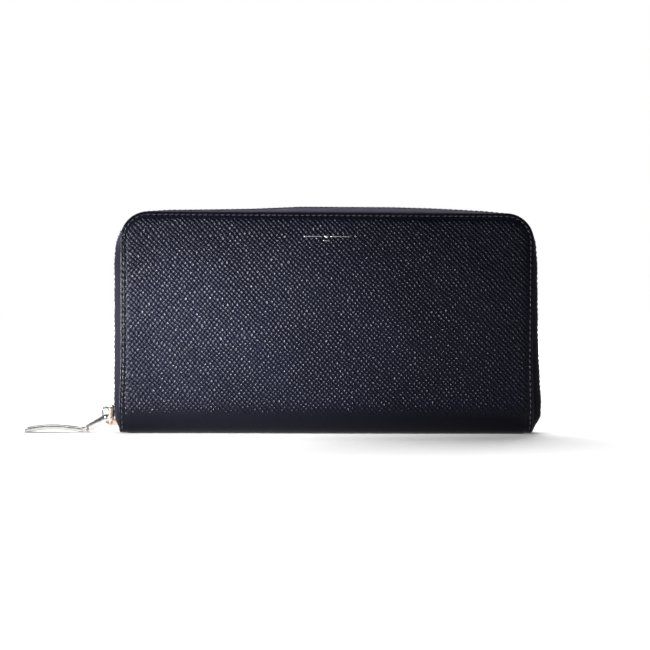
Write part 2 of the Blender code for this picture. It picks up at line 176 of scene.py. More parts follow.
def smooth_line(points, per_span=6):
    """A Catmull-Rom curve through the points."""
    points = [np.asarray(p, float) for p in points]
    ends = [2 * points[0] - points[1]] + points + [2 * points[-1] - points[-2]]
    line = []
    for index in range(len(points) - 1):
        a, b, c, d = ends[index:index + 4]
        for step in range(per_span):
            t = step / per_span
            line.append(0.5 * (2 * b + (c - a) * t + (2 * a - 5 * b + 4 * c - d) * t * t
                               + (3 * b - a - 3 * c + d) * t ** 3))
    line.append(points[-1])
    return np.array(line)


def tangents(line):
    """The line's direction at each of its points."""
    tangent = np.gradient(line, axis=0)
    return tangent / np.linalg.norm(tangent, axis=1)[:, None]


def run_of(line):
    """The length from the line's first point to each of its points."""
    return np.concatenate([[0], np.cumsum(np.linalg.norm(np.diff(line, axis=0), axis=1))])


def thick_ring(line, half_thickness):
    """A closed ring round a line: out along one face and back along the other."""
    tangent = tangents(line)
    across = np.c_[-tangent[:, 1], tangent[:, 0]] * half_thickness
    return np.concatenate([line + across, (line - across)[::-1]])


def circle(count):
    """The angles of this many points round a circle."""
    return np.linspace(0, 2 * math.pi, count + 1)[:-1]


def smoothstep(t):
    t = np.clip(t, 0.0, 1.0)
    return t * t * (3 - 2 * t)


def join(name, objects):
    """Joins the meshes of these objects into the first one, which gets this name."""
    cage = bmesh.new()
    for obj in objects:
        mesh = obj.data.copy()
        mesh.transform(obj.matrix_world)
        cage.from_mesh(mesh)
        bpy.data.meshes.remove(mesh)
    mesh = bpy.data.meshes.new(name)
    cage.to_mesh(mesh)
    cage.free()
    for obj in objects:
        bpy.data.objects.remove(obj)
    mesh.shade_smooth()
    mesh.set_sharp_from_angle(angle=math.radians(40))
    return new_object(name, mesh)


def plate(name, outlines, plane, middle, thickness, round_by):
    """A flat plate with rounded edges. The outlines are the outer edge and its holes."""
    curve = bpy.data.curves.new(name, "CURVE")
    curve.dimensions = "2D"
    curve.fill_mode = "BOTH"
    curve.extrude = thickness / 2 - round_by
    curve.bevel_depth = round_by
    curve.bevel_resolution = 2
    curve.offset = -round_by
    for outline in outlines:
        spline = curve.splines.new("POLY")
        spline.points.add(len(outline) - 1)
        for place, (x, y) in zip(spline.points, outline):
            place.co = (x, y, 0.0, 1.0)
        spline.use_cyclic_u = True
    obj = new_object(name + "_curve", curve)
    turn = {"XZ": Matrix.Rotation(math.pi / 2, 4, "X"),
            "YZ": Matrix.Rotation(math.pi / 2, 4, "Z") @ Matrix.Rotation(math.pi / 2, 4, "X"),
            "XY": Matrix.Identity(4)}[plane]
    shift = {"XZ": (0, middle, 0), "YZ": (middle, 0, 0), "XY": (0, 0, middle)}[plane]
    bpy.context.view_layer.update()
    mesh = bpy.data.meshes.new_from_object(obj.evaluated_get(bpy.context.evaluated_depsgraph_get()))
    bpy.data.objects.remove(obj)
    mesh.transform(Matrix.Translation(shift) @ turn)
    return finished(name, mesh, WELD, 32)


def arc(centre, radius, start, end, steps):
    angles = np.radians(np.linspace(start, end, steps + 1))
    return [(centre[0] + radius * math.cos(a), centre[1] + radius * math.sin(a)) for a in angles]


def copies(name, template, places):
    """One mesh holding a copy of the template (points, faces) at each 4x4 place."""
    points, faces = template
    points = np.c_[points, np.ones(len(points))]
    verts = np.concatenate([(points @ np.array(place).T)[:, :3] for place in places])
    all_faces = [tuple(k + i * len(points) for k in face) for i in range(len(places)) for face in faces]
    return mesh_object(name, verts, all_faces, sharp=50)


def template_of(cage):
    bmesh.ops.recalc_face_normals(cage, faces=cage.faces)
    cage.verts.index_update()
    points = np.array([v.co for v in cage.verts])
    faces = [tuple(v.index for v in f.verts) for f in cage.faces]
    cage.free()
    return points, faces


# ---------------------------------------------------------------- the round path of the zip and the edge

def outline_path(inset, foot):
    """The round U of three sides, this far inside the panel's edge, as a function of the length
    from the left foot. Returns (total length, f) where f(s) gives (x, z, outward x, outward z)."""
    radius = CORNER - inset
    side = HALF_WIDTH - inset
    centre_x = HALF_WIDTH - CORNER
    centre_z = TOP - CORNER
    leg = centre_z - foot
    bend = radius * math.pi / 2
    across = 2 * centre_x
    total = 2 * leg + 2 * bend + across

    def at(s):
        if s < leg:
            return -side, foot + s, -1.0, 0.0
        s -= leg
        if s < bend:
            a = s / radius
            cos, sin = math.cos(a), math.sin(a)
            return -centre_x - radius * cos, centre_z + radius * sin, -cos, sin
        s -= bend
        if s < across:
            return -centre_x + s, centre_z + radius, 0.0, 1.0
        s -= across
        if s < bend:
            a = s / radius
            cos, sin = math.cos(a), math.sin(a)
            return centre_x + radius * sin, centre_z + radius * cos, sin, cos
        s -= bend
        return side, centre_z - s, 1.0, 0.0

    return total, at


def section_path():
    """The outside of the folded cover in the YZ plane, from the rear's top edge down round the spine to
    the front's top edge. Returns the rows (y, z, outward y, outward z, length, distance from a top edge)."""
    near_edge = [0, .08, .2, .36, .55, .8, 1.1, 1.4, 1.7, 2.0, 2.3, 2.6, 2.9, 3.2, 3.5, 3.8, 4.2, 4.7, 5.3,
                 6,
                 6.7, 7.5, 8.5, 9.7, 11.2, 13]
    straight = TOP - SPINE_TOP
    drops = [e * MM for e in near_edge]
    drops += list(np.linspace(drops[-1], straight, 32)[1:])
    rows = [(HALF_DEPTH, TOP - d, 1.0, 0.0) for d in drops]
    reach = HALF_DEPTH - BASE_HALF
    for a in np.linspace(0, math.pi / 2, 15)[1:]:
        normal = np.array([math.cos(a) / reach, -math.sin(a) / SPINE_TOP])
        normal /= np.linalg.norm(normal)
        rows.append((BASE_HALF + reach * math.cos(a), SPINE_TOP * (1 - math.sin(a)), *normal))
    rows += [(y, 0.0, 0.0, -1.0) for y in (BASE_HALF * .5, 0.0)]
    rows += [(-y, z, -ny, nz) for y, z, ny, nz in rows[-2::-1]]
    rows = np.array(rows)
    length = run_of(rows[:, :2])
    return np.c_[rows, length, np.minimum(length, length[-1] - length)]


def edge_columns():
    near_edge = [0, .08, .2, .36, .55, .8, 1.1, 1.4, 1.7, 2.0, 2.3, 2.6, 2.9, 3.2, 3.5, 3.8, 4.2, 4.7, 5.3,
                 6.2, 7.5, 9.5, 12]
    left = [-(1 - e * MM / HALF_WIDTH) for e in near_edge]
    middle = list(np.linspace(left[-1], -left[-1], 58)[1:-1])
    return np.array(left + middle + [-x for x in reversed(left)])


def half_width_at(from_top, height):
    """Half the cover's width, this far from the top edge and at this height. The foot flares a little."""
    into = np.clip(CORNER - from_top, 0, CORNER)
    width = HALF_WIDTH - CORNER + np.sqrt(CORNER ** 2 - into ** 2)
    flare = 0.7 * MM * np.exp(-((height - 9 * MM) / (16 * MM)) ** 2)
    return width + np.where(from_top > CORNER, flare, 0.0)


def edge_distance(x, from_top, half_width):
    """How far a point of the cover is from the cover's edge."""
    aside = np.abs(x) - (HALF_WIDTH - CORNER)
    in_corner = (aside > 0) & (from_top < CORNER)
    corner = CORNER - np.hypot(np.maximum(aside, 0), np.maximum(CORNER - from_top, 0))
    plain = np.minimum(half_width - np.abs(x), from_top)
    return np.maximum(np.where(in_corner, corner, plain), 0.0)


def hand(x, z, length):
    """The leather's own slight fullness and waviness, in metres outwards."""
    slow = 0.16 * MM * np.sin(x * 84 + 1.3) * np.sin(length * 105 + .5)
    quick = .07 * MM * np.sin(x * 160 + length * 120)
    across = np.cos(np.clip(x / HALF_WIDTH, -1, 1) * math.pi / 2)
    belly = 0.45 * MM * across * np.sin(math.pi * np.clip(z / TOP, 0, 1))
    return slow + quick + belly


def make_foil():
    """A small pressed foil ornament: a fine rule broken by a lozenge, with a short rule under it."""
    total = section_path()[-1, 4]
    centre_x, centre_z = -0.7 * MM, 91.3 * MM
    shapes = [[(-10.4, -.13), (-1.9, -.13), (-1.9, .13), (-10.4, .13)],
              [(1.9, -.13), (10.4, -.13), (10.4, .13), (1.9, .13)],
              [(-1.25, 0), (0, -.72), (1.25, 0), (0, .72)],
              [(-1.5, -2.1), (1.5, -2.1), (1.5, -1.88), (-1.5, -1.88)],
              [(-10.4, -.45), (-10.15, -.45), (-10.15, .45), (-10.4, .45)],
              [(10.15, -.45), (10.4, -.45), (10.4, .45), (10.15, .45)]]
    verts, faces = [], []
    cuts = 12
    for shape in shapes:
        a, b, c, d = (np.array(p) * MM for p in shape)
        for k in range(cuts + 1):
            t = k / cuts
            for corner in (a + (b - a) * t, d + (c - d) * t):
                x, z = centre_x + corner[0], centre_z + corner[1]
                fullness = float(hand(x, z, total - (TOP - z)))
                out = fullness * float(smoothstep((TOP - z) / (12 * MM))) + 0.035 * MM
                verts.append((x, -HALF_DEPTH - out, z))
        first = len(verts) - 2 * (cuts + 1)
        faces += [(first + 2 * k, first + 2 * k + 2, first + 2 * k + 3, first + 2 * k + 1)
                  for k in range(cuts)]
    foil = mesh_object("foil_rule", verts, faces)
    thick = foil.modifiers.new("thick", "SOLIDIFY")
    thick.thickness = 0.05 * MM
    thick.offset = -1
    return foil


def make_cover_skin():
    """The one piece of leather round front, spine and rear: rounded edges, stitched margin, padded field."""
    rows = section_path()
    share = edge_columns()
    y, z, ny, nz, length, from_top = (rows[:, k][:, None] for k in range(6))
    half = half_width_at(from_top, z)
    x = half * share[None, :]
    d = edge_distance(x, from_top, half)
    rounding = EDGE_ROUND - np.sqrt(np.maximum(EDGE_ROUND ** 2 - np.maximum(EDGE_ROUND - d, 0) ** 2, 0))
    on_panel = smoothstep((z - 3 * MM) / (14 * MM))
    pad = PADDING * (1 - smoothstep((d - MARGIN) / (2.0 * MM)))
    groove = 0.08 * MM * np.exp(-((d - MARGIN) / (0.4 * MM)) ** 2)
    seam = 0.10 * MM * np.exp(-((d - STITCH_INSET) / (0.35 * MM)) ** 2)
    lift = hand(x, z, length) * on_panel * smoothstep(d / (12 * MM)) - pad - groove - seam - rounding
    lift = np.where(z < 0.2 * MM, np.minimum(lift, 0.0), lift)
    uv = np.stack(np.broadcast_arrays(x, length), -1)

    def shifted(by):
        return np.stack(np.broadcast_arrays(x, y + ny * by, z + nz * by), -1)

    inner = shifted(np.where(d < EDGE_ROUND, rounding - SKIN, -SKIN))
    outer = shifted(lift)
    rim = d < 1e-6
    inner[rim] = outer[rim] = shifted(-EDGE_ROUND + 0 * d)[rim]
    # press_and_shade is 1 on the pressed grain field and falls to 0 along the stitched margin and at the
    # foot, where the material paints the leather darker as painted shade.
    press_and_shade = smoothstep((d - 2.5 * MM) / (1.1 * MM)) * smoothstep((z - 7 * MM) / (9 * MM))
    return closed_sheet("cover_skin", outer, inner, uv, {"edge_mm": d / MM, "press_and_shade": press_and_shade})


def stitch_template(length, width, height):
    """One stitch: a little cushion with pinched ends, along X, standing on Z 0."""
    cage = bmesh.new()
    bmesh.ops.create_uvsphere(cage, u_segments=8, v_segments=6, radius=0.5)
    for v in cage.verts:
        pinch = 1 - 0.35 * abs(2 * v.co.z) ** 2
        v.co = Vector((v.co.z * length, v.co.x * width * pinch, v.co.y * height * pinch))
    return template_of(cage)


def place(origin, along, across, up):
    m = np.eye(4)
    m[:3, 0], m[:3, 1], m[:3, 2], m[:3, 3] = along, across, up, origin
    return m


def make_edge_stitches():
    """Stitches along the cover's edge, down both sides and round the spine's ends, a little slanted."""
    total, at = outline_path(STITCH_INSET, SPINE_TOP)
    lift = PADDING + 0.06 * MM
    slant = 0.10
    places = []
    template = stitch_template(2.1 * MM, 0.62 * MM, 0.42 * MM)
    count = int(total / STITCH_PITCH)
    for side in (-1, 1):
        for k in range(count):
            x, z, nx, nz = at((k + .5) * total / count)
            flare = half_width_at(TOP - z, z) - HALF_WIDTH if TOP - z > CORNER else 0.0
            x += math.copysign(float(flare), x) if abs(nz) < .5 else 0.0
            along = (np.array([nz, 0, -nx]) + slant * np.array([nx, 0, nz])) / math.hypot(1, slant)
            up = np.array([0, side, 0])
            places.append(place([x, side * (HALF_DEPTH - lift), z], along, np.cross(up, along), up))
    rows = section_path()
    low = rows[rows[:, 1] < SPINE_TOP + 1e-9]
    run = low[:, 4] - low[0, 4]
    count = int(run[-1] / STITCH_PITCH)
    for k in range(count):
        s = (k + .5) * run[-1] / count
        y, z, ny, nz = (np.interp(s, run, low[:, c]) for c in range(4))
        half = float(half_width_at(TOP, z)) - STITCH_INSET
        if z < 1.0 * MM:
            continue
        for side in (-1, 1):
            up = np.array([0, ny, nz])
            along = np.array([0, nz, -ny])
            centre = np.array([side * half, y, z]) - up * lift
            places.append(place(centre, along, np.cross(up, along), up))
    return copies("edge_stitching", template, places)


# ---------------------------------------------------------------- zip

def zip_crest(x, z):
    """How far the teeth stand out of the cover's outline, in millimetres. The zip is pulled tight round
    the corners, fullest along the middle of the top, and slack above its right end."""
    x, z = x / MM, z / MM
    if z > TOP / MM - 0.5:
        return float(np.interp(x, [-82, -73, -60, -35, -12, 30, 48, 62, 73, 82],
                               [.3, .9, 1.1, 1.6, 2.7, 2.7, 2.3, 1.7, 1.1, .3]))
    if x < 0:
        return float(np.interp(z, [4, 80, 86, 90, 94, 98, 102], [3.5, 3.5, 3.1, 2.0, .8, -.1, .2]))
    return float(np.interp(z, [4, 8, 15, 24, 40, 60, 80, 88, 94, 98, 102],
                           [4.6, 5.2, 5.4, 4.7, 3.8, 3.3, 2.9, 2.2, .8, -.1, .2]))


def zip_stations(spacing):
    """Places along the zip: (x, z, outward x, outward z, length, height offset, depth scale)."""
    total, at = outline_path(0, ZIP_FOOT)
    count = int(round(total / spacing))
    stations = []
    for k in range(count + 1):
        s = total * k / count
        x, z, nx, nz = at(s)
        tuck = float(smoothstep((9.0 * MM - z) / (9.0 * MM)))
        inside = BASE_HALF + (HALF_DEPTH - BASE_HALF) * math.sqrt(1 - max(1 - z / SPINE_TOP,
                                                                          0) ** 2) - 1.5 * MM
        narrow = min(1.0, inside / (9.4 * MM))
        stations.append((x, z, nx, nz, s, (zip_crest(x, z) - CREST) * MM - 2.5 * MM * tuck, narrow))
    return stations


def make_tape(name, side):
    """One half of the zip's tape: a curved ribbon from inside the cover's edge to the teeth."""
    line = smooth_line(TAPE_SECTION, 3) * MM
    ring = thick_ring(line, TAPE_THICKNESS / 2)
    along_ring = run_of(ring)
    free = np.clip((ring[:, 1] + 1.0 * MM) / (3.2 * MM), 0, 1)
    rings, uv = [], []
    for x, z, nx, nz, s, offset, narrow in zip_stations(1.6 * MM):
        out = ring[:, 1] + offset * free + 0.10 * MM * math.sin(s * 520) * free
        closing = 2.3 * MM * float(smoothstep((9.0 * MM - z) / (5.0 * MM))) if x > 0 else 0.0
        aside = ring[:, 0] * narrow - closing * np.clip((9.2 * MM - ring[:, 0]) / (6.7 * MM), 0, 1)
        rings.append(np.c_[x + nx * out, side * aside, z + nz * out])
        uv.append(np.c_[np.full(len(ring), s), along_ring])
    return loft(name, rings, np.concatenate(uv), sharp=60)


def tooth_template(height, reach):
    """One metal tooth: X along the zip, Y towards the other half, Z outwards. Its foot clasps the tape."""
    cage = bmesh.new()
    bmesh.ops.create_cube(cage, size=1.0)
    bmesh.ops.scale(cage, verts=cage.verts, vec=(1.25 * MM, reach, height))
    bmesh.ops.subdivide_edges(cage, edges=[e for e in cage.edges if abs(e.verts[0].co.y
                                                                        - e.verts[1].co.y) > 1e-4],
                              cuts=3)
    for v in cage.verts:
        toward = 2 * v.co.y / reach
        v.co.x *= 1.0 - 0.18 * (toward > 0.2) + 0.10 * (toward > 0.9)
        v.co.z *= 1.0 - 0.16 * max(toward, 0)
    bmesh.ops.bevel(cage, geom=cage.edges[:], offset=0.22 * MM, segments=2, affect="EDGES", profile=0.6)
    return template_of(cage)


def make_teeth(name, side, phase):
    """One chain of teeth. The heads pass the middle, between the other half's, but where the slider travels
    they stop short of it, so that its divider passes between the two chains."""
    stations = zip_stations(TOOTH_PITCH)
    places = []
    for first, second in zip(stations, stations[1:]):
        x, z, nx, nz, s, offset, narrow = (a + (b - a) * phase for a, b in zip(first, second))
        out = np.array([nx, 0, nz]) / math.hypot(nx, nz)
        across = np.array([0, -side, 0.0])
        along = np.cross(across, out)
        aside = TOOTH_ASIDE_IN_TRAVEL if x < 0 and z < TRAVEL_TOP else TOOTH_ASIDE
        origin = np.array([x, side * aside, z]) + out * (CREST * MM + offset - TOOTH_HEIGHT / 2)
        if z > (7.6 if x < 0 else 9.9) * MM:
            places.append(place(origin, along, across, out))
    return copies(name, tooth_template(TOOTH_HEIGHT, TOOTH_REACH), places)


# ---------------------------------------------------------------- slider and pull

def rounded_section(width, low, high, rounding, crown=0.0, count=7):
    """A closed ring of points (across, up): a rounded box whose top is crowned."""
    ring = []
    corners = ((width - rounding, high - rounding, 0), (-(width - rounding), high - rounding, 90),
               (-(width - rounding), low + rounding, 180), (width - rounding, low + rounding, 270))
    for across, up, first in corners:
        for a in np.radians(np.linspace(first, first + 90, count)):
            ring.append((across + rounding * math.cos(a), up + rounding * math.sin(a)))
        if first == 0:
            ring += [(t * (width - rounding), high) for t in (.6, .2, -.2, -.6)]
        if first == 180:
            ring += [(t * (width - rounding), low) for t in (-.6, -.2, .2, .6)]
    ring = np.array(ring)
    ring[:, 1] += crown * (1 - (ring[:, 0] / width) ** 2) * (ring[:, 1] > (low + high) / 2)
    return ring


def make_slider_plates():
    """The slider's two domed plates with their edge flanges, and the divider that joins them."""
    heights = np.array([2.95, 3.0, 3.15, 3.4, 3.8, 4.4, 5.2, 6.2, 7.4, 8.6, 9.8, 10.8, 11.6, 12.2, 12.5,
                        12.65, 12.7])
    rings_outer, rings_inner = [], []
    for z in heights:
        nose = math.sqrt(max(1 - (max(5.6 - z, 0) / 2.66) ** 2, 0.0))
        tail = math.sqrt(max(1 - (max(z - 11.5, 0) / 1.21) ** 2, 0.0))
        wide = (4.0 - 0.75 * float(smoothstep((z - 6) / 6))) * min(nose, 1) * (0.45 + 0.55 * tail)
        wide = max(wide, 0.25)
        thick = 0.25 + 0.75 * min(nose, tail)
        dome = 0.55 * math.sin(math.pi * min(max((z - 2.95) / 9.75, 0), 1)) ** 0.7
        flange = 0.9 * float(smoothstep((z - 5.4) / 1.2)) * tail
        for rings, face, way in ((rings_outer, 5.0, 1), (rings_inner, 0.3, -1)):
            ring = rounded_section(wide, -0.6 * thick, 0.6 * thick, min(0.38 * thick, wide * .45), dome)
            rim = np.clip((np.abs(ring[:, 0]) - wide + 0.75) / 0.2, 0, 1) * (ring[:, 1] < 0)
            up = ring[:, 1] - flange * rim * (1.0 if way > 0 else 0.62)
            rings.append([(-HALF_WIDTH - (face + way * u) * MM, y * MM, z * MM) for y,
                          u in zip(ring[:, 0], up)])
    outer = loft("plate_outer", rings_outer)
    inner = loft("plate_inner", rings_inner)
    divider = []
    waist = 0.09
    for n in (0.3, 0.8, 1.4, 2.5, 3.6, 4.2, 5.0):
        divider.append([(-HALF_WIDTH - n * MM, waist * math.cos(a) * MM, (4.9 + 1.45 * math.sin(a)) * MM)
                        for a in circle(20)])
    crown = []
    for t in (0.0, 0.25, 0.5, 0.7, 0.85, 0.95, 0.995):
        round_off = math.sqrt(1 - t * t)
        crown.append([(-HALF_WIDTH - (5.2 + 1.25 * t) * MM, 0.74 * math.cos(a) * round_off * MM,
                       (4.45 + 1.5 * math.sin(a) * round_off) * MM) for a in circle(24)])
    return join("slider_shell", [outer, inner, loft("divider", divider), loft("crown", crown)])


def swept(name, route, half_width, half_thickness, rounding, taper=None):
    """A strap with a rounded section along a route in the XZ plane."""
    line = smooth_line(route, 7)
    rings = []
    for k, ((x, z), (tx, tz)) in enumerate(zip(line, tangents(line))):
        t = k / (len(line) - 1)
        scale = 1.0 if taper is None else taper(t)
        ring = rounded_section(half_width * scale, -half_thickness * scale, half_thickness * scale,
                               rounding * scale, 0, 4)
        rings.append([(x - tz * v, y, z + tx * v) for y, v in ring])
    return loft(name, rings)


def make_bridge():
    """The arch over the slider that the pull's link hangs in, with its sprung tip."""
    route = [(4.9, 4.0), (5.9, 4.35), (7.2, 4.9), (8.3, 6.6), (8.8, 8.8), (9.0, 10.3), (8.5, 11.3),
             (7.4, 11.6),
             (6.4, 11.2), (5.9, 10.4)]
    route = [(-HALF_WIDTH - n * MM, z * MM) for n, z in route]
    return swept("bridge_arch", route, 0.62 * MM, 0.46 * MM, 0.30 * MM,
                 lambda t: 1.0 - 0.25 * float(smoothstep((t - .93) / .07)))


LINK_TOP = np.array([-102.1, 6.9]) * MM
LINK_LOW = np.array([-110.7, 1.7]) * MM


def stadium(start, end, radius, first=0.0, last=0.0, steps=14):
    """The outline of a strap with round ends, cut off square by first and last from either end's centre."""
    along = (end - start) / np.linalg.norm(end - start)
    angle = math.degrees(math.atan2(along[1], along[0]))
    if first:
        start = start + along * first
        low = [start + radius * np.array([-along[1], along[0]]),
               start - radius * np.array([-along[1], along[0]])]
    else:
        low = arc(start, radius, angle + 90, angle + 270, steps)
    if last:
        end = end - along * last
        high = [end - radius * np.array([-along[1], along[0]]),
                end + radius * np.array([-along[1], along[0]])]
    else:
        high = arc(end, radius, angle - 90, angle + 90, steps)
    return [tuple(p) for p in low] + [tuple(p) for p in high]


def make_link():
    """The link between slider and bar: two rounded cheeks on a core, forked at both ends."""
    radius = 1.6 * MM
    cheeks = []
    for side in (-1, 1):
        outline = stadium(LINK_TOP, LINK_LOW, radius)
        cheeks.append(plate("cheek", [outline], "XZ", side * 1.27 * MM, 0.86 * MM, 0.26 * MM))
    core = plate("core", [stadium(LINK_TOP, LINK_LOW, radius * .97, 5.0 * MM, 2.3 * MM)], "XZ", 0, 2.2 * MM,
                 0.1 * MM)
    return join("pull_strap", cheeks + [core])


def make_pin(name, centre, head):
    """A rivet: a shank with a domed head on both sides."""
    profile = [(0.02, -2.02), (0.30, -2.0), (0.55, -1.93), (head, -1.80), (head, -1.68), (0.45, -1.62),
               (0.45, 1.62),
               (head, 1.68), (head, 1.80), (0.55, 1.93), (0.30, 2.0), (0.02, 2.02)]
    rings = []
    for r, y in profile:
        rings.append([(centre[0] + r * MM * math.cos(a), y * MM, centre[1] + r * MM * math.sin(a))
                      for a in circle(28)])
    return loft(name, rings, sharp=55)


def make_bar():
    """The pull bar: a thin arched strip with bevelled edges, a slanted tip and a tongue for the link."""
    top = smooth_line([(-139.6, 1.15), (-138.9, 1.75), (-137.9, 2.35), (-134, 2.95), (-129, 3.32),
                       (-124, 3.3),
                       (-118, 2.75), (-113.6, 2.12), (-113.0, 1.95)], 5)
    stations = top[:, 0]
    under = np.interp(stations, [-139.6, -137.5, -132, -126, -120, -113.0],
                      [0.12, 0.35, 1.35, 1.72, 1.30, 0.42])
    rings = []
    for x, high, low in zip(stations, top[:, 1], under):
        tip = math.sqrt(max(1 - (max(-137.2 - x, 0) / 2.5) ** 2, 0.0))
        wide = 2.6 * (0.62 + 0.38 * tip) - 0.25 * float(smoothstep((x + 118) / 5))
        ring = rounded_section(wide, low, high, min(0.30, (high - low) * .3), 0.10, 4)
        rings.append([(x * MM, y * MM, z * MM) for y, z in ring])
    strip = loft("bar_strip", rings)
    tongue = plate("tongue", [stadium(LINK_LOW, np.array([-114.2 * MM, 1.25 * MM]), 1.15 * MM)], "XZ", 0,
                   1.1 * MM, 0.2 * MM)
    return join("pull_strip", [strip, tongue])


# ---------------------------------------------------------------- inside

TIERS = (1, 2, 3, 4)


def spread(low, high, near, middle):
    """Places from low to high, close together at both ends."""
    near = np.array(near) * MM
    return np.concatenate([low + near, np.linspace(low + near[-1], high - near[-1], middle)[1:-1],
                           high - near[::-1]])


def flat_panel(name, node, corner=0.0, roll=0.25, shape=None):
    """A panel of the size of its CAD node with rounded top corners. The relief function shape(x, z, distance
    from the top) gives metres away from the panel's middle, for its two faces alike."""
    low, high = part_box(node)
    half, depth = high.x, (high.y - low.y) / 2
    middle = (high.y + low.y) / 2
    z = spread(low.z, high.z, [0, .1, .25, .5, .9, 1.3, 1.6, 1.9, 2.3, 2.8, 3.6, 5, 7], 24)[:, None]
    share = spread(-half, half, [0, .1, .25, .5, .9, 1.4, 2.2, 3.4, 5], 49)[None, :] / half
    split = 0.9 * MM / half
    share = np.sort(np.concatenate([share, [[-split, -split / 2, 0.0, split / 2, split]]], axis=1), axis=1)
    into = np.clip(corner - (high.z - z), 0, corner)
    width = half - corner + np.sqrt(np.maximum(corner ** 2 - into ** 2, 0)) + 0 * z
    x = width * share
    z = z + 0 * x
    border = np.minimum(np.minimum(width - np.abs(x), high.z - z), z - low.z)
    rounding = depth * (1 - np.sqrt(1 - (1 - np.clip(border / (roll * MM), 0, 1)) ** 2))
    relief = shape(x, z, high.z - z) if shape else 0.0
    front = np.stack([x, middle - depth + rounding - relief + 0 * x, z], -1)
    back = np.stack([x, middle + depth - rounding + 0 * x, z], -1)
    uv = np.stack([x, z], -1)
    return closed_sheet(name, front, back, uv, {"edge_mm": np.clip(border, 0, 1) / MM})


def tier_shape(side, lift):
    """A card pocket: creased under its top, sewn down its middle, bulging where the cards sit."""
    def relief(x, z, down):
        crease = -0.13 * MM * np.exp(-((down - 1.9 * MM) / (0.28 * MM)) ** 2)
        turned = 0.07 * MM * smoothstep((2.2 * MM - down) / (0.6 * MM))
        seam = -0.20 * MM * np.exp(-(x / (0.55 * MM)) ** 2)
        bulge = np.sin(math.pi * np.clip(np.abs(x) / (84 * MM), 0, 1)) ** 0.6
        cards = lift * bulge * np.exp(-((down - 6 * MM) / (9 * MM)) ** 2)
        return side * (crease + turned + seam + cards)
    return relief


def make_tiers(face, side):
    """The four stepped card pockets on one cover's inside. The relief faces the middle of the wallet."""
    made = []
    for number in TIERS:
        node = f"{face}_card_tier_{number}"
        made.append(flat_panel(f"{face}_pocket_{number}", node, 2.5 * MM, shape=tier_shape(side, 0.12 * MM)))
        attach(made[-1], f"{face}_half")
        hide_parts(node)
    return made


def straight_seam(name, start, end, up, pitch, size=(1.9, 0.42, 0.30)):
    """A row of stitches from start to end, whose thread stands up from the surface."""
    start, end, up = (np.array(v, float) for v in (start, end, up))
    run = np.linalg.norm(end - start)
    along = (end - start) / run
    count = int(run / pitch)
    places = []
    for k in range(count):
        centre = start + along * (k + .5) * run / count
        places.append(place(centre, along, np.cross(up, along), up))
    return copies(name, stitch_template(*(v * MM for v in size)), places)


def make_pocket_seams(face, side):
    """The seams that hold the pockets: up the middle of each tier and along both sides."""
    tops = [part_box(f"{face}_card_tier_{n}")[1].z for n in TIERS] + [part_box(f"{face}_card_tier_4")[0].z]
    rows = []
    for n in TIERS:
        low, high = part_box(f"{face}_card_tier_{n}")
        surface = (low.y if side > 0 else high.y)
        up = (0, -side, 0)
        for x, sink in ((0.0, 0.12), (low.x + 1.6 * MM, 0.0), (high.x - 1.6 * MM, 0.0)):
            y = surface + side * (sink - 0.06) * MM
            rows.append(straight_seam("row", (x, y, tops[n] + .6 * MM), (x, y, tops[n - 1] - 2.2 * MM), up,
                                      2.4 * MM))
    return join(f"{face}_pocket_seams", rows)


def make_spine_liner():
    """The cloth along the inside of the spine: up behind both linings' feet."""
    low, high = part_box("spine_lining")
    depth = high.y - 0.25 * MM
    rows = []
    for a in np.radians(np.linspace(0, -146, 34)):
        y, z = depth * math.cos(a), SPINE_TOP + (SPINE_TOP - low.z - 0.25 * MM) * math.sin(a)
        normal = np.array([math.cos(a) / depth, math.sin(a) / (SPINE_TOP - low.z)])
        rows.append((y, z, *(normal / np.linalg.norm(normal))))
    rows = np.array(rows)
    length = run_of(rows[:, :2])
    x = np.linspace(low.x, high.x, 60)[None, :]
    y, z, ny, nz = (rows[:, k][:, None] for k in range(4))
    wave = 0.05 * MM * np.sin(x * 700) * np.sin(length[:, None] * 500)

    def face(by):
        return np.stack(np.broadcast_arrays(x, y + ny * by, z + nz * by), -1)

    uv = np.stack(np.broadcast_arrays(x, length[:, None]), -1)
    return closed_sheet("spine_liner", face(0.22 * MM + 0 * x), face(wave - 0.22 * MM), uv,
                        {"edge_mm": 5.0 + 0 * x + 0 * y})


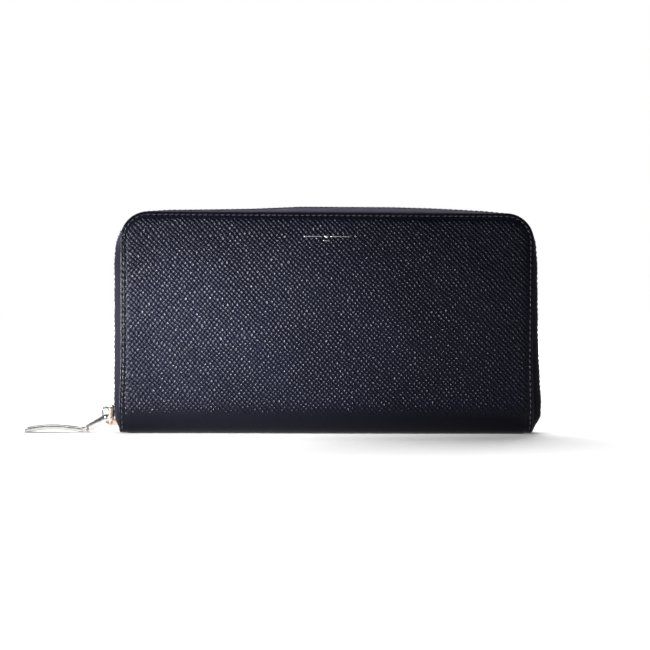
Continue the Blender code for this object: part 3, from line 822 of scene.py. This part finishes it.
def make_gusset(side):
    """A pleated side wall: from the rear lining in to the coin purse and out to the front lining.
    Its foot is drawn in to the spine's lining."""
    low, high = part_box("gusset_right")
    rings, uv = [], []
    foot = 4.2 * MM
    for z in np.concatenate([np.linspace(foot, low.z, 7),
                             np.linspace(low.z + 1 * MM, high.z - .1 * MM, 46)]):
        t = max(z - low.z, 0) / (high.z - low.z)
        sunk = max(SPINE_TOP - z, 0) / (SPINE_TOP - 2.55 * MM)
        drawn_in = min(1.0, (8.45 * math.sqrt(1 - sunk ** 2) - 0.55) / 7.9)
        fold = max(high.x - 0.55 * MM - (4.3 + 21.7 * t) * MM, 88.5 * MM if z <= low.z else 0.0)
        points = [(85.8, -7.72), (89.5, -7.72), (91.7, -7.35), (91.9, -6.2), (90.9, -4.7), (88.6, -4.35)]
        points = [(x * MM, y * MM) for x, y in points] + [(fold + 3.5 * MM, -4.35 * MM),
                                                          (fold + .6 * MM, -4.3 * MM)]
        points += [(fold, -3.85 * MM), (fold + .6 * MM, -3.42 * MM), (fold + 3.5 * MM, -3.38 * MM)]
        points += [(88.6 * MM, -3.38 * MM), (90.5 * MM, -3.0 * MM), (91.7 * MM, -1.6 * MM),
                   (92.15 * MM, 0.0)]
        line = smooth_line(points + [(x, -y) for x, y in points[-2::-1]], 3)
        line[:, 0] += 0.12 * MM * math.sin(z * 260) * np.sin(line[:, 1] * 700)
        tangent = tangents(line)
        across = np.c_[tangent[:, 1], -tangent[:, 0]] * 0.15 * MM
        line[:, 1] *= drawn_in
        length = run_of(line)
        ring = np.concatenate([line + across, (line - across)[::-1]])
        rings.append(np.c_[side * ring[:, 0], ring[:, 1], np.full(len(ring), z)])
        uv.append(np.c_[np.concatenate([length, length[::-1]]), np.full(len(ring), z)])
    return loft("pleat_left" if side < 0 else "pleat_right", rings, np.concatenate(uv), sharp=60)


def coin_wall_shape(side):
    """The purse's wall: bound along its top, a little full in the middle."""
    def relief(x, z, down):
        bound = -0.10 * MM * np.exp(-((down - 5.5 * MM) / (0.3 * MM)) ** 2)
        across = np.cos(np.clip(x / (88 * MM), -1, 1) * math.pi / 2)
        full = 0.35 * MM * across * np.sin(math.pi * np.clip(z / (76 * MM), 0, 1))
        crease = 0.05 * MM * np.sin(x * 90 + z * 60) * np.sin(z * 120)
        return side * (bound + np.maximum(full + crease, 0))
    return relief


def padded_strip(name, node, axis):
    """A folded strip of the node's size, with rounded edges, along this axis."""
    low, high = (np.array(v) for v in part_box(node))
    others = [k for k in range(3) if k != axis]
    middle, half = (low + high) / 2, (high - low) / 2
    rings = []
    for t in np.linspace(-1, 1, 30):
        end = 1 - 0.25 * smoothstep((abs(t) - 0.97) / 0.03)
        ring = rounded_section(half[others[0]] * end, -half[others[1]] * end, half[others[1]] * end,
                               min(half[others[0]], half[others[1]]) * .8 * end, 0, 4)
        points = np.zeros((len(ring), 3))
        points[:, axis] = middle[axis] + half[axis] * t
        points[:, others[0]] = middle[others[0]] + ring[:, 0]
        points[:, others[1]] = middle[others[1]] + ring[:, 1]
        rings.append(points)
    uv = [np.c_[r[:, axis], r[:, others[0]] + r[:, others[1]]] for r in rings]
    return loft(name, rings, np.concatenate(uv))


def coin_tape(side):
    """The coin zip's tape: a ribbon sewn into the purse's wall, bent in under the teeth."""
    line = smooth_line([(2.55, 76.6), (2.9, 77.3), (3.75, 78.9), (3.9, 80.3), (3.6, 81.0), (2.5, 81.15)],
                       4) * MM
    ring = thick_ring(line, 0.17 * MM)
    around = run_of(ring)
    rings, uv = [], []
    for x in np.linspace(-82, 82, 110) * MM:
        wave = 0.06 * MM * math.sin(x * 500)
        rings.append(np.c_[np.full(len(ring), x), side * (ring[:, 0] + wave), ring[:, 1]])
        uv.append(np.c_[np.full(len(ring), x), around])
    return loft("coin_ribbon_front" if side < 0 else "coin_ribbon_rear", rings, np.concatenate(uv), sharp=60)


def coin_teeth(side):
    cage = bmesh.new()
    bmesh.ops.create_cube(cage, size=1.0)
    bmesh.ops.scale(cage, verts=cage.verts, vec=(0.95 * MM, 2.06 * MM, 1.5 * MM))
    bmesh.ops.bevel(cage, geom=cage.edges[:], offset=0.2 * MM, segments=2, affect="EDGES")
    template = template_of(cage)
    pitch = 1.9 * MM
    places = []
    for k in range(82):
        x = -76 * MM + (k + (0.25 if side < 0 else 0.75)) * pitch
        if x < 80.4 * MM:
            places.append(place([x, side * 1.17 * MM, 81.2 * MM], [1, 0, 0], [0, 1, 0], [0, 0, 1]))
    return copies("coin_chain_front" if side < 0 else "coin_chain_rear", template, places)


def make_stop(name, centre, along, across, size):
    """A zip's end stop: a pressed clip with rounded corners and a groove round it."""
    rings = []
    for t in np.linspace(-1, 1, 17):
        swell = 1 - 0.10 * math.exp(-(t / 0.16) ** 2) - 0.35 * float(smoothstep((abs(t) - .8) / .2))
        ring = rounded_section(size[1] * swell, -size[2] * swell, size[2] * swell, .3 * size[2], 0, 4)
        rings.append([np.array(centre) + np.array(along) * t * size[0] + np.array(across) * y
                      + np.cross(along, across) * z for y, z in ring])
    return loft(name, rings)


def make_coin_slider():
    """The coin zip's slider: two rounded plates on a divider."""
    low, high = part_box("coin_slider_body")
    middle = (low.x + high.x) / 2
    plates = []
    for name, base, way in (("top", high.z - 0.5 * MM, 1), ("under", low.z + 0.5 * MM, -1)):
        rings = []
        for t in np.linspace(-1, 1, 21):
            end = math.sqrt(max(1 - max(abs(t) - .6, 0) ** 2 / .16, 0.0))
            wide = (3.3 - 0.55 * smoothstep((t + 1) / 2)) * (0.5 + 0.5 * end)
            thin = 0.4 + 0.6 * end
            ring = rounded_section(wide * MM, -0.46 * MM * thin, 0.30 * MM * thin, 0.25 * MM * thin,
                                   0.16 * MM * end, 4)
            rings.append([(middle + t * (high.x - low.x) / 2, y, base + way * z) for y, z in ring])
        plates.append(loft(name, rings))
    post = [[(low.x + (1.5 + .9 * math.cos(a)) * MM, .09 * math.sin(a) * MM, z) for a in circle(16)]
            for z in np.linspace(low.z + .6 * MM, high.z - .6 * MM, 5)]
    return join("coin_runner", plates + [loft("post", post)])


def make_coin_bridge():
    centre = (-75.8, 83.95)
    route = [(centre[0] + 2.1 * math.cos(a), centre[1] + 2.1 * math.sin(a))
             for a in np.radians(np.linspace(178, 2, 13))]
    return swept("coin_arch", [(x * MM, z * MM) for x, z in route], 0.38 * MM, 0.36 * MM, 0.24 * MM)


def make_coin_pull():
    """The coin zip's pull: a thin strap with a slot round the arch and a keyhole near its tip."""
    low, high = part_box("coin_pull")
    half = high.y
    start, end = low.x + half, high.x - half
    outline = arc((start, 0), half, 90, 270, 14) + arc((end, 0), half * .86, -90, 90, 14)
    slot = arc((-74.1 * MM, 0), 0.75 * MM, 90, 270, 8) + arc((-73.2 * MM, 0), 0.75 * MM, -90, 90, 8)
    hole = arc((end - .4 * MM, 0), 0.8 * MM, 0, 360, 20)[:-1]
    return plate("coin_tab", [outline, slot[::-1], hole[::-1]], "XY", (low.z + high.z) / 2, high.z - low.z,
                 0.18 * MM)


# ---------------------------------------------------------------- materials

class Look:
    """A Principled material with a few helpers that add nodes."""

    def __init__(self, name, colour, roughness, **sockets):
        self.material = bpy.data.materials.new(name)
        self.material.use_nodes = True
        self.tree = self.material.node_tree
        self.shader = self.tree.nodes["Principled BSDF"]
        self.set(self.shader.inputs["Base Color"], colour)
        self.set(self.shader.inputs["Roughness"], roughness)
        for key, value in sockets.items():
            self.set(self.shader.inputs[key.replace("_", " ")], value)

    def set(self, socket, value):
        if isinstance(value, bpy.types.NodeSocket):
            self.tree.links.new(value, socket)
        elif isinstance(value, tuple) and len(value) == 3 and socket.type == "RGBA":
            socket.default_value = (*value, 1.0)
        else:
            socket.default_value = value

    def node(self, kind, output=0, settings=None, **inputs):
        node = self.tree.nodes.new("ShaderNode" + kind)
        for key, value in (settings or {}).items():
            setattr(node, key, value)
        for key, value in inputs.items():
            self.set(node.inputs[key.replace("_", " ")], value)
        return node.outputs[output]

    def math(self, operation, *values):
        node = self.tree.nodes.new("ShaderNodeMath")
        node.operation = operation
        for socket, value in zip(node.inputs, values):
            self.set(socket, value)
        return node.outputs[0]

    def plus(self, first, second):
        return self.math("ADD", first, second)

    def times(self, first, second):
        return self.math("MULTIPLY", first, second)

    def set_colour(self, value):
        self.set(self.shader.inputs["Base Color"], value)

    def set_roughness(self, value):
        self.set(self.shader.inputs["Roughness"], value)

    def remap(self, value, low, high, to_low=0.0, to_high=1.0):
        node = self.tree.nodes.new("ShaderNodeMapRange")
        node.interpolation_type = "SMOOTHSTEP"
        for socket, number in zip(node.inputs, (value, low, high, to_low, to_high)):
            self.set(socket, number)
        return node.outputs[0]

    def mix(self, share, first, second):
        node = self.tree.nodes.new("ShaderNodeMix")
        node.data_type = "RGBA"
        colours = [s for s in node.inputs if s.type == "RGBA"]
        self.set(node.inputs[0], share)
        self.set(colours[0], first)
        self.set(colours[1], second)
        return next(s for s in node.outputs if s.type == "RGBA")

    def in_mm(self, where):
        scaled = self.node("VectorMath", settings={"operation": "SCALE"})
        self.set(scaled.node.inputs[0], where)
        scaled.node.inputs["Scale"].default_value = 1 / MM
        return scaled

    def cut_mm(self):
        """The piece's own flat coordinates, in millimetres."""
        return self.in_mm(self.node("UVMap", settings={"uv_map": "cut"}))

    def object_mm(self):
        """The place in the object's own axes, in millimetres."""
        return self.in_mm(self.node("TexCoord", output="Object"))

    def attribute(self, name):
        """A number that the mesh carries at its points."""
        return self.node("Attribute", output="Fac", settings={"attribute_name": name})

    def noise(self, where, scale, detail=2.0, roughness=0.5):
        return self.node("TexNoise", Vector=where, Scale=scale, Detail=detail, Roughness=roughness)

    def stripes(self, where, angle, period, wobble=None):
        """A 0..1 wave whose crests run square to this angle, in degrees, one every period millimetres."""
        a = math.radians(angle)
        dot = self.node("VectorMath", output="Value", settings={"operation": "DOT_PRODUCT"})
        self.set(dot.node.inputs[0], where)
        dot.node.inputs[1].default_value = (math.cos(a), math.sin(a), 0.0)
        phase = self.times(dot, 2 * math.pi / period)
        if wobble is not None:
            phase = self.plus(phase, wobble)
        return self.math("MULTIPLY_ADD", self.math("SINE", phase), 0.5, 0.5)

    def bump(self, height, distance, strength=1.0):
        normal = self.node("Bump", Height=height, Distance=distance, Strength=strength)
        self.set(self.shader.inputs["Normal"], normal)

    def paint(self, *objects):
        for obj in objects:
            obj.data.materials.clear()
            obj.data.materials.append(self.material)


def cover_leather():
    """Navy leather pressed with a cross grain, smooth along the stitched margin. The margin and the foot are
    painted darker as painted shade.
    """
    look = Look("cover_leather", (0.010, 0.011, 0.021), 0.4, Specular_IOR_Level=0.12)
    at = look.cut_mm()
    drift = look.times(look.math("SUBTRACT", look.noise(at, 0.11, 3.0), 0.5), 9.0)
    slip = look.times(look.math("SUBTRACT", look.noise(at, 0.5, 2.0), 0.5), 3.0)
    wobble = look.plus(drift, slip)
    falling = look.stripes(at, 45, 1.68, wobble)
    rising = look.stripes(at, -37, 1.70, look.times(wobble, -0.8))
    peaks = look.times(falling, rising)
    uneven = look.remap(look.noise(at, 0.42, 2.0), 0.30, 0.68, 0.25, 1.25)
    ridges = look.plus(look.times(falling, 0.30), look.times(rising, 0.14))
    grain = look.plus(look.times(peaks, uneven), ridges)
    edge = look.attribute("edge_mm")
    press_and_shade = look.attribute("press_and_shade")
    field = look.math("MULTIPLY_ADD", press_and_shade, 0.90, 0.10)
    fine = look.times(look.noise(at, 3.5, 3.0), 0.16)
    height = look.plus(look.times(grain, field), fine)
    look.bump(height, 0.00038)
    worn = look.remap(edge, 0.0, 0.9, 1.0, 0.0)
    cloudy = look.remap(look.noise(at, 0.035, 2.0), 0.3, 0.7, 0.0, 1.0)
    deep = look.mix(cloudy, (0.0021, 0.0023, 0.0062), (0.0033, 0.0036, 0.0092))
    crest = look.mix(look.times(grain, 0.55), deep, (0.007, 0.0075, 0.016))
    # Darker colour where press_and_shade is 0: painted shade along the stitched margin and painted contact
    # shadow along the foot.
    tone = look.mix(press_and_shade, (0.0015, 0.0016, 0.0044), crest)
    look.set_colour(look.mix(look.times(worn, 0.20), tone, (0.020, 0.020, 0.034)))
    smooth = look.math("MULTIPLY_ADD", press_and_shade, 0.14, 0.20)
    rough = look.math("SUBTRACT", smooth, look.times(look.times(peaks, press_and_shade), 0.14))
    look.set_roughness(look.plus(rough, look.times(fine, 0.4)))
    return look


def thread():
    """Waxed thread, twisted."""
    look = Look("thread", (0.035, 0.036, 0.060), 0.38)
    at = look.object_mm()
    twist = look.node("TexWave", Vector=at, Scale=1.6, Distortion=0.4)
    look.set_colour(look.mix(twist, (0.010, 0.011, 0.022), (0.036, 0.038, 0.060)))
    look.bump(twist, 0.00012)
    return look


def pocket_leather():
    """Soft smooth leather of the pockets: fine pebble, paler at cut edges."""
    look = Look("pocket_leather", (0.010, 0.011, 0.026), 0.5, Specular_IOR_Level=0.3)
    at = look.cut_mm()
    cells = look.node("TexVoronoi", Vector=at, Scale=1.15)
    cells.node.feature = "SMOOTH_F1"
    fine = look.noise(at, 3.0, 3.0)
    height = look.plus(cells, look.times(fine, 0.35))
    look.bump(height, 0.00010)
    cloudy = look.remap(look.noise(at, 0.06, 3.0), 0.3, 0.7)
    tone = look.mix(cloudy, (0.0075, 0.0085, 0.022), (0.013, 0.014, 0.034))
    edge = look.attribute("edge_mm")
    worn = look.remap(edge, 0.05, 0.5, 0.5, 0.0)
    look.set_colour(look.mix(worn, tone, (0.030, 0.032, 0.058)))
    look.set_roughness(look.remap(fine, 0.3, 0.7, 0.42, 0.58))
    return look


def lining_cloth(name="lining_twill", pale=(0.030, 0.036, 0.085), deep=(0.010, 0.012, 0.034)):
    """Navy twill: steep diagonal ribs of yarn, a little uneven."""
    look = Look(name, pale, 0.7, Sheen_Weight=0.25, Sheen_Roughness=0.45, Specular_IOR_Level=0.3)
    at = look.cut_mm()
    drift = look.times(look.noise(at, 0.15, 2.0), 2.0)
    rib = look.stripes(at, 28, 0.52, drift)
    weft = look.stripes(at, 100, 0.34, drift)
    weave = look.plus(look.times(rib, 0.75), look.times(weft, 0.25))
    slub = look.remap(look.noise(at, 0.7, 3.0), 0.3, 0.7, 0.75, 1.1)
    look.set_colour(look.mix(look.times(weave, slub), deep, pale))
    look.set_roughness(look.remap(weave, 0.0, 1.0, 0.82, 0.62))
    look.bump(weave, 0.00012)
    return look


def board_paper():
    """Grey stiffener board with pressed fibres."""
    look = Look("board_paper", (0.20, 0.18, 0.16), 0.85, Specular_IOR_Level=0.2)
    at = look.object_mm()
    fibre = look.noise(at, 1.4, 5.0, 0.7)
    look.set_colour(look.mix(look.remap(fibre, 0.35, 0.65), (0.15, 0.135, 0.12), (0.24, 0.22, 0.20)))
    look.bump(fibre, 0.00010)
    return look


def tape_cloth():
    """Woven zip tape: a fine herringbone of purple navy yarn, painted paler along the top as painted light
    and darker down the sides as painted shade.
    """
    look = Look("tape_cloth", (0.05, 0.045, 0.08), 0.8, Sheen_Weight=0.02, Sheen_Roughness=0.4,
                Specular_IOR_Level=0.12)
    look.shader.inputs["Sheen Tint"].default_value = (0.75, 0.72, 0.95, 1)
    at = look.cut_mm()
    left = look.stripes(at, 62, 0.55)
    right = look.stripes(at, -62, 0.55)
    band = look.remap(look.stripes(at, 90, 3.2), 0.35, 0.65)
    yarn = look.plus(look.times(left, band),
                     look.times(right, look.math("SUBTRACT", 1.0, band)))
    fuzz = look.noise(at, 5.0, 2.0)
    tone = look.times(yarn, look.remap(fuzz, 0.2, 0.8, 0.5, 1.1))
    # painted_top_light: the tape is painted pale along the top, above 82 mm, and dark below: painted light
    # from above and painted shade down the sides.
    painted_top_light = look.remap(look.node("SeparateXYZ", output="Z", Vector=look.object_mm()), 82.0, 101.0)
    deep = look.mix(painted_top_light, (0.003, 0.0026, 0.006), (0.028, 0.025, 0.044))
    pale = look.mix(painted_top_light, (0.010, 0.0085, 0.018), (0.110, 0.096, 0.150))
    look.set_colour(look.mix(tone, deep, pale))
    look.bump(look.plus(yarn, look.times(fuzz, 0.5)), 0.00014)
    return look


def dark_metal():
    """The teeth's dark plate, rubbed bright in places."""
    look = Look("tooth_metal", (0.10, 0.10, 0.125), 0.3, Metallic=0.9)
    at = look.object_mm()
    rubbed = look.noise(at, 1.3, 4.0)
    look.set_colour(look.mix(look.remap(rubbed, 0.35, 0.7), (0.060, 0.060, 0.080), (0.22, 0.22, 0.26)))
    look.set_roughness(look.remap(rubbed, 0.3, 0.7, 0.42, 0.24))
    look.bump(rubbed, 0.00005)
    return look


def nickel(name, colour, roughness):
    """Polished pale plate with hairline marks and faint cloudiness."""
    look = Look(name, colour, roughness, Metallic=1.0)
    at = look.object_mm()
    lines = look.node("Mapping", Vector=at)
    lines.node.inputs["Scale"].default_value = (0.35, 6.0, 3.0)
    hair = look.noise(lines, 2.2, 5.0, 0.6)
    cloud = look.noise(at, 0.35, 3.0)
    dull = tuple(c * 0.86 for c in colour)
    look.set_colour(look.mix(look.remap(cloud, 0.35, 0.7), colour, dull))
    look.set_roughness(look.plus(look.times(hair, 0.16), roughness - 0.06))
    look.bump(hair, 0.00002)
    return look


# ---------------------------------------------------------------- camera, light, floor

def make_stage():
    floor = mesh_object("floor", [(-1.3, -1.3, 0), (1.3, -1.3, 0), (1.3, 1.3, 0), (-1.3, 1.3, 0)],
                        [(0, 1, 2, 3)])
    paper = Look("floor_paper", (0.93, 0.93, 0.93), 0.9)
    grain = paper.noise(paper.object_mm(), 0.02, 2.0)
    paper.set_colour(paper.mix(grain, (0.925, 0.925, 0.925), (0.935, 0.935, 0.935)))
    paper.shader.inputs["Emission Color"].default_value = (1, 1, 1, 1)
    away = paper.node("VectorMath", output="Value", settings={"operation": "LENGTH"})
    paper.set(away.node.inputs[0], paper.object_mm())
    seen = paper.node("LightPath", output="Is Camera Ray")
    paper.set(paper.shader.inputs["Emission Strength"],
              paper.plus(paper.times(paper.remap(away, 300.0, 900.0), seen), 0.12))
    paper.paint(floor)


def area_light(name, at, target, size, power, colour=(1, 1, 1), spread=180):
    lamp = bpy.data.lights.new(name, "AREA")
    lamp.spread = math.radians(spread)
    lamp.shape = "RECTANGLE"
    lamp.size, lamp.size_y = size
    lamp.energy = power
    lamp.color = colour
    obj = new_object(name, lamp)
    obj.location = at
    obj.rotation_euler = (Vector(target) - Vector(at)).to_track_quat("-Z", "Y").to_euler()


def make_light():
    world = bpy.data.worlds.new("studio")
    bpy.context.scene.world = world
    world.use_nodes = True
    tree = world.node_tree
    room = tree.nodes["Background"]
    look = tree.nodes.new("ShaderNodeTexCoord")
    parts = tree.nodes.new("ShaderNodeSeparateXYZ")
    tree.links.new(look.outputs["Generated"], parts.inputs[0])
    ramp = tree.nodes.new("ShaderNodeValToRGB")
    ramp.color_ramp.elements[0].position = 0.30
    ramp.color_ramp.elements[0].color = (0.05, 0.05, 0.055, 1)
    ramp.color_ramp.elements[1].position = 0.75
    ramp.color_ramp.elements[1].color = (0.13, 0.13, 0.14, 1)
    shift = tree.nodes.new("ShaderNodeMath")
    shift.operation = "MULTIPLY_ADD"
    tree.links.new(parts.outputs["Y"], shift.inputs[0])
    shift.inputs[1].default_value = 0.5
    shift.inputs[2].default_value = 0.5
    tree.links.new(shift.outputs[0], ramp.inputs[0])
    tree.links.new(ramp.outputs[0], room.inputs["Color"])
    backdrop = tree.nodes.new("ShaderNodeBackground")
    backdrop.inputs["Color"].default_value = (1, 1, 1, 1)
    path = tree.nodes.new("ShaderNodeLightPath")
    choose = tree.nodes.new("ShaderNodeMixShader")
    tree.links.new(path.outputs["Is Camera Ray"], choose.inputs[0])
    tree.links.new(room.outputs[0], choose.inputs[1])
    tree.links.new(backdrop.outputs[0], choose.inputs[2])
    tree.links.new(choose.outputs[0], tree.nodes["World Output"].inputs["Surface"])
    area_light("back_softbox", (-0.15, 0.85, 1.9), (0, -0.5, 0), (2.0, 1.3), 62)
    area_light("left_softbox", (-0.195, -0.135, 0.062), (-0.03, 0, 0.042), (0.06, 0.07), 0.25,
               (1, 0.99, 0.98), 47)
    bpy.context.scene.view_settings.view_transform = "Standard"


def make_camera():
    camera = bpy.data.cameras.new("camera")
    camera.lens = 100
    camera.sensor_width = 36
    obj = new_object("camera", camera)
    distance = 0.8287
    elevation = math.radians(2.5)
    azimuth = math.radians(-2.0)
    target = Vector((-0.00115, -HALF_DEPTH, 0.0507))
    away = Vector((math.sin(azimuth) * math.cos(elevation), -math.cos(azimuth) * math.cos(elevation),
                   math.sin(elevation)))
    obj.location = target + away * distance
    roll = Matrix.Rotation(math.radians(0.3), 4, "Z")
    obj.rotation_euler = ((-away).to_track_quat("-Z", "Y").to_matrix().to_4x4() @ roll).to_euler()
    bpy.context.scene.camera = obj


# ---------------------------------------------------------------- the wallet

make_camera()
make_light()
make_stage()

foil = make_foil()
skin = make_cover_skin()
cover_leather().paint(skin)
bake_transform(skin)
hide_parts("front_cover", "spine", "rear_cover")

stitches = make_edge_stitches()
thread().paint(stitches)
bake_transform(stitches)

tape_look = tape_cloth()
teeth_look = dark_metal()
front_tape = make_tape("front_tape_ribbon", -1)
rear_tape = make_tape("rear_tape_ribbon", 1)
tape_look.paint(front_tape, rear_tape)
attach(front_tape, "front_half")
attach(rear_tape, "rear_half")
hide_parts("front_zip_tape")
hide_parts("rear_zip_tape")

front_chain = make_teeth("front_chain", -1, 0.25)
rear_chain = make_teeth("rear_chain", 1, 0.75)
teeth_look.paint(front_chain, rear_chain)
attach(front_chain, "front_half")
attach(rear_chain, "rear_half")
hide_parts("front_zip_teeth")
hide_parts("rear_zip_teeth")

silver = nickel("silver", (0.66, 0.65, 0.63), 0.15)
champagne = nickel("champagne", (0.80, 0.62, 0.50), 0.24)

slider_shell = make_slider_plates()
champagne.paint(slider_shell)
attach(slider_shell, "slider")
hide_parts("slider_body")

bridge = make_bridge()
link = make_link()
upper_pin = make_pin("upper_rivet", LINK_TOP, 0.80)
lower_pin = make_pin("lower_rivet", LINK_LOW, 0.80)
bar = make_bar()
# A darker copy of the silver for the slider's arch and the rivets: painted shade on the same metal as the
# link and the bar.
shaded_silver = nickel("shaded_silver", (0.30, 0.295, 0.29), 0.30)
silver.paint(link, bar)
shaded_silver.paint(bridge, upper_pin, lower_pin)
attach(bridge, "slider")
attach(link, "pull_link")
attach(upper_pin, "pull_link")
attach(lower_pin, "pull_link")
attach(bar, "pull_bar")
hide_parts("slider_bridge")
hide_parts("pull_link")
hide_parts("link_pin")
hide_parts("bar_pin")
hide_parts("pull_bar")

pockets = pocket_leather()
twill = lining_cloth()
sewing = thread()
board = board_paper()
for face, side in (("front", -1), ("rear", 1)):
    body = f"{face}_half"
    lining = flat_panel(f"{face}_inside", f"{face}_lining", 11.5 * MM)
    twill.paint(lining)
    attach(lining, body)
    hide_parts(f"{face}_lining")
    tiers = make_tiers(face, side)
    pockets.paint(*tiers)
    seams = make_pocket_seams(face, side)
    sewing.paint(seams)
    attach(seams, body)
    board.paint(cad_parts[f"{face}_board"])

liner = make_spine_liner()
twill.paint(liner)
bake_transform(liner)
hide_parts("spine_lining")
for side, node in ((-1, "gusset_left"), (1, "gusset_right")):
    pleat = make_gusset(side)
    pockets.paint(pleat)
    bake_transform(pleat)
    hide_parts(node)

for face, side in (("front", -1), ("rear", 1)):
    wall = flat_panel(f"coin_{face}_panel", f"coin_{face}_wall", 1.5 * MM,
                      shape=coin_wall_shape(1 if side < 0 else -1))
    pockets.paint(wall)
    ribbon = coin_tape(side)
    tape_look.paint(ribbon)
    chain = coin_teeth(side)
    teeth_look.paint(chain)
    low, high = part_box(f"coin_{face}_wall")
    y = (low.y if side < 0 else high.y) + side * 0.02 * MM
    seam = straight_seam(f"coin_{face}_seam", (low.x + 2 * MM, y, high.z - 2.2 * MM),
                         (high.x - 2 * MM, y, high.z - 2.2 * MM),
                         (0, side, 0), 2.5 * MM)
    sewing.paint(seam)
    for piece, node in ((wall, f"coin_{face}_wall"), (ribbon, f"coin_zip_tape_{face}"),
                        (chain, f"coin_zip_teeth_{face}")):
        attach(piece, "coin_purse")
        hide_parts(node)
    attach(seam, "coin_purse")
for name, node, axis in (("coin_floor", "coin_base", 0), ("coin_end_left", "coin_side_left", 2),
                         ("coin_end_right", "coin_side_right", 2)):
    strip = padded_strip(name, node, axis)
    pockets.paint(strip)
    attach(strip, "coin_purse")
    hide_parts(node)

coin_stop = make_stop("coin_clip", (81.55 * MM, 0, 81.2 * MM), (0, 1, 0), (1, 0, 0),
                      (2.1 * MM, .45 * MM, .75 * MM))
chain_stop = make_stop("chain_clip", (99.3 * MM, 0, 8.7 * MM), (0, 1, 0), (0, 0, 1),
                       (2.5 * MM, .95 * MM, .9 * MM))
runner = make_coin_slider()
arch = make_coin_bridge()
tab = make_coin_pull()
silver.paint(arch, tab, runner)
teeth_look.paint(coin_stop, chain_stop)
for piece, node, body in ((coin_stop, "coin_zip_stop", "coin_purse"),
                          (chain_stop, "zip_bottom_stop", "rear_half"),
                          (runner, "coin_slider_body", "coin_slider"),
                          (arch, "coin_slider_bridge", "coin_slider"),
                          (tab, "coin_pull", "coin_pull")):
    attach(piece, body)
    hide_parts(node)

pale_foil = nickel("pale_foil", (0.80, 0.80, 0.82), 0.35)
pale_foil.paint(foil)
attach(foil, "front_half")
